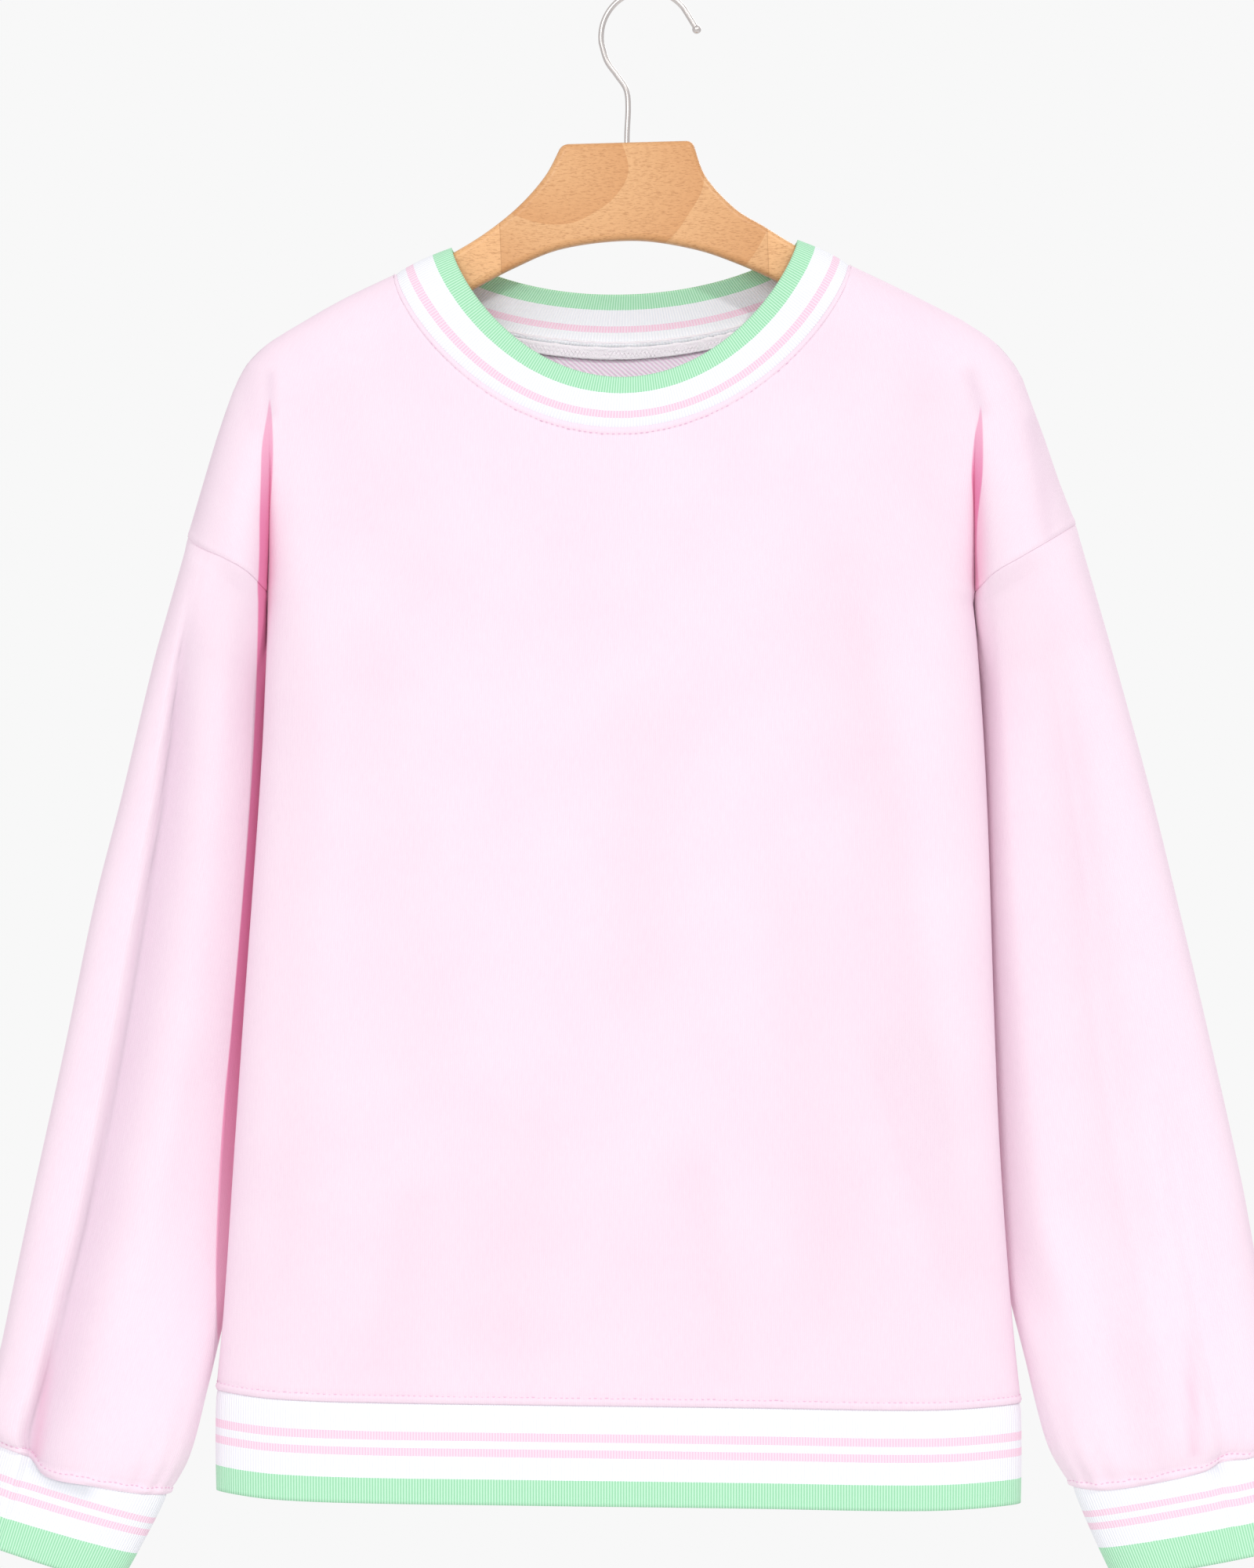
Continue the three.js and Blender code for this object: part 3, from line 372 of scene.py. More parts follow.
def lacqueredBeech():
    # steamed beech, three lengths glued end to end, sawn flat and lacquered: warm tan with arched growth rings,
    # short dark flecks of the rays, and paler straight-grained arms
    look = beechLook
    material, add = newMaterial("lacqueredBeech")
    place = add("TexCoord", {}).outputs["Object"]
    heartX, heartZ = look["heart"]
    # growth rings round the heart of the board: each grows darker outward and ends in a thin line
    toHeart = {"Location": (-heartX * mm, 0, -heartZ * mm * look["flatten"]),
               "Scale": (1.0, 1.0, look["flatten"])}
    bent = add("Mapping", {**toHeart, "Vector": place})
    ringWave = {"wave_type": "RINGS", "rings_direction": "Y", "Detail": 2.0}
    coarse = {"wave_profile": "SAW", "Scale": look["ringScale"], "Distortion": 1.6, "Detail Scale": 1.6,
              "Detail Roughness": 0.4}
    rings = add("TexWave", {**ringWave, **coarse, "Vector": bent}).outputs["Fac"]
    thin = {"Scale": look["ringScale"] * 9, "Distortion": 8.0, "Detail Scale": 1.0}
    fine = add("TexWave", {**ringWave, **thin, "Vector": bent}).outputs["Fac"]
    # rays: dark dashes about 2 mm long
    dashes = {"Rotation": (0, 0.12, 0), "Scale": (420.0, 900.0, 2300.0)}
    stretched = add("Mapping", {**dashes, "Vector": place})
    flecks = add("TexNoise", {"Scale": 1.0, "Detail": 2.0, "Vector": stretched})
    dark = add("MapRange", {"From Min": 0.52, "From Max": 0.66, "Value": flecks})
    tans = {"Color1": linear(look["early"]), "Color2": linear(look["late"])}
    middle = add("MixRGB", {**tans, "Fac": rings})
    share = add("Math", {"operation": "MULTIPLY", 1: look["fineShare"], 0: fine})
    middle = add("MixRGB", {"Color2": linear(look["fineLine"]), "Fac": share, "Color1": middle})
    # the arms begin at the glued joints, which slant a little
    axes = add("SeparateXYZ", {0: place})
    slant = {"operation": "MULTIPLY_ADD", 1: 0.04}
    slanted = add("Math", {**slant, 0: axes.outputs["Z"], 2: axes.outputs["X"]})
    off = add("Math", {"operation": "SUBTRACT", 1: look["jointMiddle"] * mm, 0: slanted})
    off = add("Math", {"operation": "ABSOLUTE", 0: off})
    past = add("Math", {"operation": "SUBTRACT", 1: look["jointHalf"] * mm, 0: off})
    isArm = add("Math", {"operation": "GREATER_THAN", 1: 0.0, 0: past})
    color = add("MixRGB", {"Color2": linear(look["arm"]), "Fac": isArm, "Color1": middle})
    offJoint = add("Math", {"operation": "ABSOLUTE", 0: past})
    line = {"From Min": 0.0, "From Max": look["jointWidth"] * mm, "To Min": 0.5, "To Max": 0.0}
    glue = add("MapRange", {**line, "Value": offJoint})
    color = add("MixRGB", {"Color2": linear(look["glue"]), "Fac": glue, "Color1": color})
    share = add("Math", {"operation": "MULTIPLY", 1: look["fleckShare"], 0: dark})
    color = add("MixRGB", {"Color2": linear(look["fleck"]), "Fac": share, "Color1": color})
    satin = {"Roughness": 0.45, "Coat Weight": 0.2, "Coat Roughness": 0.35, "IOR": 1.5, "Base Color": color}
    return finishMaterial(material, satin, dark, {"Strength": 0.15, "Distance": 0.0002, "invert": True})


def brushedNickel():
    # steel wire, nickel plated and drawn bright: soft long reflections with fine lines
    material, add = newMaterial("brushedNickelWire")
    place = add("UVMap", {"uv_map": "cloth"})
    fine = add("Mapping", {"Scale": (8.0, 0.15, 1.0), "Vector": place})
    lines = add("TexNoise", {"Scale": 4.0, "Detail": 2.0, "Vector": fine})
    rough = add("MapRange", {"To Min": 0.2, "To Max": 0.36, "Value": lines})
    return finishMaterial(material, {"Metallic": 1.0, "Base Color": linear("#D9D4CF"), "Roughness": rough})


jersey = cottonJersey()
terry = frenchTerry()
print("stage: materials made")


# Body
armpit = -321.0
middleX = -13.4
seamHalf = 0.06  # half of the gap between front and back along the shoulders and sides
clothThickness = 1.6
sideSeams = [(-756, -231, 199.5), (-707, -226.4, 194.5), (-620, -220.6, 188.2), (-544, -215.4, 185),
             (-450, -208.6, 182), (-400, -205.4, 179.6), (-345, -203.2, 175.8), (-327, -203, 174.2),
             (armpit, -203.2, 175.2)]
armholes = dict(right=[(-203.2, armpit), (-212.5, -310.6), (-224.5, -303.4), (-238.6, -297),
                       (-245.6, -291.2)],
                left=[(175.2, armpit), (184, -311.4), (199, -302.4), (213.4, -294), (228.9, -284.4)])
outerShoulders = dict(right=[(-245.6, -291.2), (-237.6, -264), (-230, -238.7), (-222.2, -216),
                             (-218.2, -206.6)],
                      left=[(228.9, -284.4), (220, -262), (212, -238.7), (203.6, -216), (200.3, -206.6)])
shoulderEnds = dict(right=[(-218.2, -206.6), (-213.4, -198.6), (-204, -189.2), (-193, -181.9)],
                    left=[(200.3, -206.6), (194.8, -197.6), (185, -187), (168, -175.5)])
innerShoulders = dict(right=[(-193, -181.9), (-164, -165.2), (-134.8, -151.1)],
                      left=[(168, -175.5), (138, -160.4), (108, -146.1)])
armCreases = dict(right=[(-203.2, armpit), (-202.4, -300), (-201.4, -262), (-200.8, -222), (-193, -181.9)],
                  left=[(175.2, armpit), (174.8, -300), (174.2, -262), (174.4, -222), (168, -175.5)])
shoulderLines = {side: outerShoulders[side] + shoulderEnds[side][1:] + innerShoulders[side][1:]
                 for side in armholes}
# the sleeves' outer edge goes on from the shoulder line
sleeveTops = dict(right=[(-263.3, -357), (-255.6, -330), (-247.8, -303)],
                  left=[(248, -352), (240, -324.5), (232, -297)])
neckline = dict(fullness=0.74, closer=0.35, front=85.6, back=37.0)
neckEdge = dict(right=(-104.6, -137.0), left=(80.2, -132.8), front=72.0, back=25.0, fullness=0.5,
                frontDepth=21.0, backDepth=19.0)
lowerEdge = [(-231, -747.4), (-200, -750.4), (-142, -752.2), (31, -754.6), (150, -756.2), (199.5, -754.4)]
# height, half depth of the front, of the back and of the sleeve heads, and how far the sides round over
bodyDepths = [(-820, 25, 24, 34, 66), (-750, 26, 25, 34, 66), (-600, 29, 27, 34, 60),
              (-450, 31, 28, 34, 46), (armpit, 30, 27, 34, 26), (-270, 27, 24, 31, 26),
              (-215, 22, 20, 23, 30), (-120, 20, 18, 20, 34)]
depthColumns = dict(front=1, back=2, head=3, sideRound=4)
creaseShape = dict(headRound=20.0, fade=100.0, closing=0.3, strength=0.94, blend=20.0)
shoulderRound = 32.0
leastDepth = 1.4  # half depth where front and back come close
nearArmpit = (26, 8)  # how far below the armpit the last two rows lie
headCloser = dict(crease=0.4, armhole=0.7)  # how much closer the rows stand at the ends of these lines
# folds: from x, z to x, z, width towards the wearer's right and left, depth
folds = dict(front=[(98, -310, 156, -640, 26, 16, 4.2), (-4, -380, -10, -560, 20, 30, 2.6),
                    (124, -560, 172, -700, 12, 22, 3.4), (70, -470, 96, -720, 16, 28, 3.0),
                    (-150, -340, -118, -600, 30, 20, 2.2), (-60, -600, -84, -735, 26, 16, 2.2),
                    (-188, -330, -196, -700, 10, 16, 1.6), (20, -620, 44, -748, 16, 10, 1.8),
                    (-120, -640, -146, -748, 12, 20, 1.6), (-170, -215, -120, -330, 26, 20, 1.6),
                    (150, -210, 104, -320, 20, 28, 1.8)],
             back=[(-110, -300, -150, -640, 22, 30, 3.4), (20, -330, 4, -600, 30, 22, 3.0),
                   (90, -310, 132, -590, 16, 26, 3.2), (-40, -520, -66, -730, 26, 18, 2.8),
                   (60, -560, 84, -740, 12, 22, 2.2), (-150, -600, -176, -745, 14, 22, 2.0),
                   (-60, -180, -20, -300, 30, 22, 1.8)])
# cells of the part's own grid, and how many steps each of them gets here
cells = dict(side=12, head=9, armhole=9, shoulder=7, neck=20, sleeve=19, band=3)
fineness = dict(columns=7, sideRows=6, headRows=5, armhole=6, sleeveRows=8, bandRows=8)
bodyColumns = 2 * cells["shoulder"] + cells["neck"]
bodyRows = cells["side"] + cells["head"]


def troughs(table, x, z):
    # sum of depth * fade * exp(-(off / width)^2), off being the distance from the fold's line
    total = np.zeros(np.shape(x))
    for fromX, fromZ, toX, toZ, widthRight, widthLeft, depth in table:
        dx, dz = toX - fromX, toZ - fromZ
        along = ((x - fromX) * dx + (z - fromZ) * dz) / (dx * dx + dz * dz)
        off = ((x - fromX) * dz - (z - fromZ) * dx) / np.hypot(dx, dz)
        width = np.where(off > 0, widthRight, widthLeft)
        faded = depth * smoothStep(along * 4 + 0.4) * smoothStep((1 - along) * 4 + 0.4)
        total += faded * np.exp(-(off / width) ** 2)
    return total


def undulation(x, z, seed):
    # slow unevenness of hanging cloth: three crossed sine waves of 70 to 190 mm
    wandering = np.sin(x / 21 + seed + 0.6 * np.sin(z / 60))
    return 0.28 * (wandering + np.sin(x / 13 - z / 70 + 2 * seed) + np.sin(z / 30 + x / 55 - seed))


def bodyDepth(face, x, z):
    # full depth * round at the outline * round at the side seam or arm crease, less the folds
    look = creaseShape
    depthAt = {name: readTable(bodyDepths, column, z) for name, column in depthColumns.items()}
    result = np.zeros(np.shape(x))
    for side, sign, column in (("right", -1, 1), ("left", 1, 2)):
        above = z > armpit
        creaseX = np.where(above, readTable(armCreases[side], 0, z, 1), armCreases[side][0][0])
        beyond = sign * (x - creaseX)
        headShare = np.where(above, smoothStep(beyond / look["blend"] + 0.5), 0)
        full = depthAt[face] + (depthAt["head"] - depthAt[face]) * headShare
        turned = roundEdge(distanceTo(sleeveTops[side] + shoulderLines[side], x, z) / shoulderRound)
        sideAndCrease = [(row[column], row[0]) for row in sideSeams] + armCreases[side][1:]
        inside = distanceTo(sideAndCrease, x, z)
        parted = roundEdge(inside / depthAt["sideRound"])
        close = roundEdge(inside / np.where(beyond > 0, look["headRound"], depthAt["sideRound"]))
        up = (z - armpit) / look["fade"]
        strength = (1 - (1 - look["strength"]) * smoothStep(up / look["closing"])) * (1 - smoothStep(up))
        parted = np.where(above, 1 - strength * (1 - close), parted)
        uneven = troughs(folds[face], x, z) + undulation(x, z, len(face))
        depth = full * turned * parted - uneven * np.minimum(turned, parted)
        result = np.where((x < middleX) == (side == "right"), depth, result)
    return result


def neckPoints(share, drop, start, end):
    # t = -cos(pi * share), z = straight line - drop * (1 - t^2)^fullness
    t = -np.cos(np.pi * endsCloser(share, neckline["closer"]))
    x = start[0] + (end[0] - start[0]) * (t + 1) / 2
    z = start[1] + (end[1] - start[1]) * (t + 1) / 2
    return np.stack([x, z - drop * np.maximum(1 - t * t, 0) ** neckline["fullness"]], -1)


def bodyTop(face, column):
    first, last = cells["shoulder"], bodyColumns - cells["shoulder"]
    right = alongLine(innerShoulders["right"], np.clip(column / first, 0, 1))
    left = alongLine(innerShoulders["left"], np.clip((bodyColumns - column) / first, 0, 1))
    share = np.clip((column - first) / cells["neck"], 0, 1)
    neck = neckPoints(share, neckline[face], innerShoulders["right"][-1], innerShoulders["left"][-1])
    return np.where((column <= first)[:, None], right, np.where((column >= last)[:, None], left, neck))


def bodyBottom(column):
    half = bodyColumns / 2
    fromSide = (np.minimum(column, bodyColumns - column) / half) ** 1.4
    right, left = lowerEdge[0][0], lowerEdge[-1][0]
    start = np.where(column < half, right, left)
    x = start + ((right + left) / 2 - start) * fromSide
    return np.stack([x, readTable(lowerEdge, 1, x)], -1)


def bodySide(side, row):
    # up the side seam, then up the arm crease
    start = lowerEdge[0 if side == "right" else -1][1]
    places = [0, cells["side"] - 2, cells["side"] - 1, cells["side"]]
    z = np.interp(row, places, [start, armpit - nearArmpit[0], armpit - nearArmpit[1], armpit])
    below = np.stack([readTable(sideSeams, 1 if side == "right" else 2, z), z], -1)
    up = np.clip((row - cells["side"]) / cells["head"], 0, 1)
    crease = alongLine(armCreases[side], endsCloser(up, headCloser["crease"]))
    return np.where((row >= cells["side"])[:, None], crease, below)


def fillIn(bottom, top, start, end, u, v):
    # Coons patch: both rulings less the bilinear one through the corners
    u, v = u[None, :, None], v[:, None, None]
    ruled = (1 - v) * bottom[None] + v * top[None] + (1 - u) * start[:, None] + u * end[:, None]
    return (ruled - (1 - u) * (1 - v) * bottom[0] - u * (1 - v) * bottom[-1]
            - (1 - u) * v * top[0] - u * v * top[-1])


beside = np.array([0.02, 0.045, 0.075, 0.11, 0.15, 0.2, 0.26, 0.34])  # of a cell, close to a seam
columnAt = gradual(0, bodyColumns, bodyColumns * fineness["columns"])
rowAt = np.unique(np.r_[gradual(0, cells["side"], cells["side"] * fineness["sideRows"], beside * 0.9),
                        gradual(cells["side"], bodyRows, cells["head"] * fineness["headRows"],
                                np.r_[cells["side"] + beside * 1.4, bodyRows - beside * 2])])
headAt = gradual(0, 1, cells["armhole"] * fineness["armhole"])
upperRows = rowAt >= cells["side"]
neckOnly = (columnAt >= cells["shoulder"]) & (columnAt <= bodyColumns - cells["shoulder"])


def standOff(face, flat, onSeam):
    # a flat grid given its depth: half of the seam's gap on a seam, and the body's depth elsewhere
    x, z = flat[..., 0], flat[..., 1]
    depth = np.where(onSeam, seamHalf, np.maximum(bodyDepth(face, x, z), leastDepth))
    return np.stack([x, -depth if face == "front" else depth, z], -1)


def bodyPanel(face):
    # the body between its side seams and arm creases, and a sleeve head beyond each crease
    flat = fillIn(bodyBottom(columnAt), bodyTop(face, columnAt), bodySide("right", rowAt),
                  bodySide("left", rowAt), columnAt / bodyColumns, rowAt / bodyRows)
    fromSide = np.minimum(columnAt, bodyColumns - columnAt)
    onSide = (fromSide == 0)[None] & ((rowAt <= cells["side"]) | (rowAt == bodyRows))[:, None]
    onShoulder = (rowAt == bodyRows)[:, None] & (fromSide <= cells["shoulder"])[None]
    grids = {"body": standOff(face, flat, onSide | onShoulder)}
    for side in ("right", "left"):
        v = (rowAt[upperRows] - cells["side"]) / cells["head"]
        flat = fillIn(alongLine(armholes[side], endsCloser(headAt, headCloser["armhole"])),
                      alongLine(shoulderEnds[side], 1 - headAt), bodySide(side, rowAt[upperRows]),
                      alongLine(outerShoulders[side], endsCloser(v, headCloser["crease"])), headAt, v)
        onSeam = (headAt == 1)[None] | (v == 1)[:, None] | ((headAt == 0)[None] & (v == 0)[:, None])
        grids[side] = standOff(face, flat, onSeam)
    return grids


def joinGrids(grids, face):
    # one set of points: the inner column of each sleeve head is the body's own side column
    flip = face == "back"
    body = grids["body"]
    ids = {"body": np.arange(body.shape[0] * body.shape[1]).reshape(body.shape[:2])}
    points = [body.reshape(-1, 3)]
    count = len(points[0])
    faces = [gridFaces(ids["body"], flip)]
    for side in ("right", "left"):
        head = grids[side]
        own = count + np.arange(head.shape[0] * (head.shape[1] - 1)).reshape(head.shape[0], -1)
        shared = ids["body"][upperRows, 0 if side == "right" else -1]
        ids[side] = np.column_stack([shared, own])
        points.append(head[:, 1:].reshape(-1, 3))
        count += own.size
        faces.append(gridFaces(ids[side], flip if side == "left" else not flip))
    return np.concatenate(points), np.concatenate(faces), ids


def fromEdge(points, axis, start):
    # length along the grid from one of its edges
    steps = np.linalg.norm(np.diff(points, axis=axis), axis=-1)
    zero = np.zeros_like(np.take(steps, [0], axis))
    if start == 0:
        return np.concatenate([zero, np.cumsum(steps, axis)], axis)
    back = np.flip(np.cumsum(np.flip(steps, axis), axis), axis)
    return np.concatenate([back, zero], axis)


rollWidths = dict(groove=1.1, bulge=1.6, stitch=1.0)


def seamRoll(distance, groove, bulge, bulgeAt, stitchAt, stitchDepth):
    # the turned edge: sunk at the seam, proud beside it, pressed in again along the topstitching
    return (-groove * np.exp(-(distance / rollWidths["groove"]) ** 2)
            + bulge * np.exp(-((distance - bulgeAt) / rollWidths["bulge"]) ** 2)
            - stitchDepth * np.exp(-((distance - stitchAt) / rollWidths["stitch"]) ** 2))


def besideSeam(panel, ids, start, distance):
    # points and normals of a panel at a distance from the seam at one end of its grid, one for each column
    away = fromEdge(panel["points"][ids], 0, start)
    if start == -1:
        away, ids = away[::-1], ids[::-1]
    columns = np.arange(ids.shape[1])
    above = np.clip((away <= distance).sum(0), 1, len(away) - 1)
    below = above - 1
    t = ((distance - away[below, columns]) / (away[above, columns] - away[below, columns]))[:, None]
    first, second = ids[below, columns], ids[above, columns]
    points = panel["points"][first] * (1 - t) + panel["points"][second] * t
    normals = panel["normals"][first] * (1 - t) + panel["normals"][second] * t
    return points, unit(normals)


def pucker(along, distance):
    # small gathers that the sewing draws up: three sine waves of 12 to 27 mm, gone 10 mm from the seam
    waves = np.sin(along / 1.9) + np.sin(along / 3.1 + 1.4) + np.sin(along / 4.3 + 0.5 + 2 * np.sin(along / 37))
    return 0.13 * waves * np.exp(-distance / 6) * smoothStep(distance / 3)


# soft patches of shade on the front: from x, z to x, z, reach, strength
softPatches = [(204.1, -232, 212.9, -291, 5.0, 0.12), (172, -206, 178, -224, 4.5, 0.16),
               (-200.5, -206, -200.2, -226, 3.0, 0.16), (-212, -208, -207, -232, 6.0, 0.06),
               (147, -220, 155, -300, 12.0, 0.04), (-228, -226, -240, -282, 5.0, 0.07)]


# shade for each millimetre of a fold's depth and the most of it; and the shade low down, where it grows
softLook = dict(perDepth=0.017, most=0.08, low=0.065, lowFrom=-470, lowOver=260)


def softShade(face, x, z):
    # faint shade along the folds and towards the hem, and the patches on the front
    look = softLook
    low = look["low"] * smoothStep((look["lowFrom"] - z) / look["lowOver"])
    shade = np.clip(look["perDepth"] * troughs(folds[face], x, z), 0, look["most"]) + low
    if face == "front":
        for fromX, fromZ, toX, toZ, reach, strength in softPatches:
            shade = shade + strength * np.exp(-(distanceTo([(fromX, fromZ), (toX, toZ)], x, z) / reach) ** 2)
    return shade


# the hard-edged shade in each arm crease, between two lines down the front: height, x of its left and right
# edge, strength
creaseWedges = dict(right=[(-218, -201.0, -201.0, 0.4), (-228, -202.6, -199.9, 0.5),
                           (-243.3, -205.2, -199.2, 0.6), (-259.7, -206.1, -199.4, 0.72),
                           (-282.3, -207.0, -200.9, 0.95), (-300, -207.3, -201.6, 1),
                           (-321, -208.2, -202.6, 1), (-340, -208.9, -203, 1)],
                    left=[(-222, 177.4, 177.4, 0.4), (-229, 176.3, 178.2, 0.5),
                          (-243.3, 173.6, 178.8, 0.65), (-258.8, 172.3, 178.7, 0.85),
                          (-272, 172.9, 177.6, 0.95), (-285, 173.7, 176.6, 0.9), (-300, 174.6, 176.6, 0.7),
                          (-321, 175.4, 177.8, 0.6), (-340, 175.6, 177.6, 0.5)])


farOff = -5.0  # distance given to what is well outside a wedge


def inWedge(x, z):
    # distance inside the nearer edge of the wedge on this side, and the strength of the shade there
    past, strength = np.full(np.shape(x), farOff), np.zeros(np.shape(x))
    for side in ("right", "left"):
        leftEdge, rightEdge, most = [readTable(creaseWedges[side], column, z) for column in (1, 2, 3)]
        here = (x < middleX) == (side == "right")
        past = np.where(here, np.minimum(x - leftEdge, rightEdge - x), past)
        strength = np.where(here, most * (z < creaseWedges[side][0][0]), strength)
    return np.maximum(past, farOff), strength * smoothStep((z - armpit + 3) / 3)


def clothShades(count, **given):
    # the shade attributes of a jersey piece, nothing where none is given
    return {key: given.get(key, np.zeros(count)) for key in shadeNames}


# the painted pink shade beside the wedges: its strength, how far from the crease it is strongest, how wide it
# is on either side of that, and its heights above the armpit
creasePaintedPink = dict(right=0.22, left=0.36, at=1.5, outward=4.6, inward=2.0, narrowFrom=30, narrowOver=75,
                  start=-12, startOver=14, end=48, endOver=52)


def besideCrease(x, z):
    # painted pink shade beside the wedge: strength * exp(-((beyond - at) / width)^2), narrower and fainter
    # upwards
    look = creasePaintedPink
    up = z - armpit
    deep = np.zeros(np.shape(x))
    for side, sign in (("right", -1), ("left", 1)):
        beyond = sign * (x - readTable(armCreases[side], 0, z, 1))
        narrow = 1 - 0.6 * smoothStep((up - look["narrowFrom"]) / look["narrowOver"])
        width = np.where(beyond > look["at"], look["outward"], look["inward"]) * narrow
        run = smoothStep((up - look["start"]) / look["startOver"])
        run = run * (1 - smoothStep((up - look["end"]) / look["endOver"]))
        deep = np.maximum(deep, look[side] * np.exp(-((beyond - look["at"]) / width) ** 2) * run)
    return deep


hemRoll = dict(groove=0.5, bulge=0.9, bulgeAt=1.9, stitchAt=4.2, stitchDepth=0.55)
neckRoll = dict(groove=0.4, bulge=0.7, bulgeAt=1.7, stitchAt=3.6, stitchDepth=0.5)
armholeRoll = dict(groove=0.35, bulge=0.25, bulgeAt=2.2, stitchAt=9.0, stitchDepth=0.0)

panels = {}
for face in ("front", "back"):
    grids = bodyPanel(face)
    points, faces, ids = joinGrids(grids, face)
    normals = pointNormals(points, faces)
    offset = np.zeros(len(points))
    body = points[ids["body"]]
    fromHem = fromEdge(body, 0, 0)
    offset[ids["body"]] += seamRoll(fromHem, **hemRoll) + pucker(body[..., 0], fromHem)
    neckColumns = ids["body"][:, neckOnly]
    fromNeck = fromEdge(points[neckColumns], 0, -1)
    neckPucker = 0.6 * pucker(points[neckColumns][..., 0], fromNeck)
    offset[neckColumns] += seamRoll(fromNeck, **neckRoll) + neckPucker
    for side in ("right", "left"):
        fromArm = fromEdge(points[ids[side]], 0, 0)
        roll = seamRoll(fromArm, **armholeRoll) + pucker(points[ids[side]][..., 0], fromArm)
        offset[ids[side]] += roll * smoothStep(headAt * 6)[None]
    # where front and back meet, they stay put and face each other squarely
    onMiddle = np.abs(points[:, 1]) < 0.3
    offset[onMiddle] = 0
    normals[onMiddle, 1] = 0
    normals = unit(normals)
    points = points + normals * offset[:, None]
    # place on the cloth in millimetres, for the pattern of the knit
    uv = np.zeros((len(points), 2))
    body = points[ids["body"]]
    across = fromEdge(body, 1, 0)
    across -= across[:, [len(columnAt) // 2]]
    uv[ids["body"]] = np.stack([across, body[..., 2]], -1)
    for side, column, sign in (("right", 0, -1), ("left", -1, 1)):
        head = points[ids[side]]
        start = across[upperRows, column]
        uv[ids[side]] = np.stack([start[:, None] + sign * fromEdge(head, 1, 0), head[..., 2]], -1)
    # painted shade: the hard shadow in each arm crease, on the front only, deeper pink beside it, fainter on
    # the back, and soft grey shade along the folds, low down and, on the front, in patches
    x, z = points[:, 0], points[:, 2]
    pastEdge, underEdge = inWedge(x, z)
    onFront = face == "front"
    inFold = besideCrease(x, z) * (1 if onFront else 0.5)
    shades = clothShades(len(points), inFold=inFold, inShade=softShade(face, x, z), pastEdge=pastEdge,
                         underEdge=underEdge * onFront)
    panel = newPiece(face + "_panel_cloth", points, faces, [jersey, terry], uv, faces, shades)
    giveThickness(panel, clothThickness, 1)
    rideAs(panel, face + "_panel")
    panels[face] = dict(points=points, normals=normals, ids=ids, piece=panel)
print("stage: body panels made")


# Seams between the pieces
def rimOf(face, edge, inner):
    # points, normals and the way out, along an edge of a panel
    panel = panels[face]
    points, normals = panel["points"][edge], panel["normals"][edge]
    return points, normals, unit(points - panel["points"][inner])


def joinRims(front, back):
    # round the whole edge: the front's points, then the back's the other way, with one between at each end
    joined = []
    for f, b in zip(front, back):
        ends = (f[[0, -1]] + b[[0, -1]]) / 2
        ends[:, 1] = 0
        joined.append(np.concatenate([ends[:1], f[1:-1], ends[1:], b[1:-1][::-1]]))
    return joined[0], unit(joined[1]), unit(joined[2])


# rows that tuck under the neighbour's edge, as a sewn seam does: distance past the seam, and how far inside
tuck = [(-3.0, 2.0), (-1.0, 1.7)]


def bandPoints(rim, edge, fullness, sink, rows):
    # straight from the seam to the free edge, plus fullness * 4t(1-t) along the rim's normal; first rows tucked
    points, normals, out = rim
    t = rows[:, None, None]
    surface = points[None] * (1 - t) + edge[None] * t + normals[None] * fullness * 4 * t * (1 - t)
    distance = np.linalg.norm(edge - points, axis=-1)[None, :, None] * t
    surface = surface - normals[None] * sink * np.exp(-distance / 2.5)
    first = [points + out * d - normals * inside for d, inside in tuck]
    return np.concatenate([np.stack(first), surface])


def closedTube(grid, flip):
    # faces of a grid whose last column meets its first, and the numbers of its unrolled pattern points
    rows, columns = grid.shape[:2]
    ids = np.arange(rows * columns).reshape(rows, columns)
    unrolled = np.arange(rows * (columns + 1)).reshape(rows, columns + 1)
    return gridFaces(np.column_stack([ids, ids[:, 0]]), flip), gridFaces(unrolled, flip)


def aroundAndDown(grid, tucked, turnsRound=None, width=None):
    # u goes round the tube by length, or counts ribs when turnsRound is given; v goes down from the seam, and
    # is the same at the free edge all round when width is given
    closed = np.concatenate([grid, grid[:, :1]], 1)
    middle = closed[closed.shape[0] // 2]
    u = np.r_[0, np.cumsum(np.linalg.norm(np.diff(middle, axis=0), axis=-1))]
    if turnsRound:
        u = u / u[-1] * turnsRound
    v = fromEdge(closed, 0, 0)
    v = v - v[[tucked]]
    if width:
        v = v * width / v[-1]
    return np.stack([np.broadcast_to(u[None], v.shape), v], -1).reshape(-1, 2)


ribPitch = 1.5  # one rib of the flat knit, 3.6 pixels in the photograph


def ribBand(name, node, rim, edge, look, flip, material, shadeLine=None):
    # a ring of rib from a rim to its free edge, bulging by the look's fullness and sunk at the seam
    rows = np.linspace(0, 1, cells["band"] * fineness["bandRows"] + 1)
    grid = bandPoints(rim, edge, look["fullness"], look["sink"], rows)
    faces, uvFaces = closedTube(grid, flip)
    points = grid.reshape(-1, 3)
    lengths = np.linalg.norm(np.diff(np.concatenate([grid, grid[:, :1]], 1), axis=1), axis=-1).sum(1)
    ribs = int(round(lengths[len(lengths) // 2] / ribPitch))
    uv = aroundAndDown(grid, len(tuck), ribs, look.get("evenWidth"))
    inShade = np.zeros(len(points))
    if shadeLine:
        # painted shade: strength * exp(-(distance / reach)^2) from the line, on the front only
        off = distanceTo(shadeLine["line"], points[:, 0], points[:, 2])
        inShade = shadeLine["strength"] * np.exp(-(off / shadeLine["reach"]) ** 2) * (points[:, 1] < 0)
    band = newPiece(name, points, faces, [material], uv, uvFaces, {"inShade": inShade})
    giveThickness(band, clothThickness)
    rideAs(band, node)
    return band


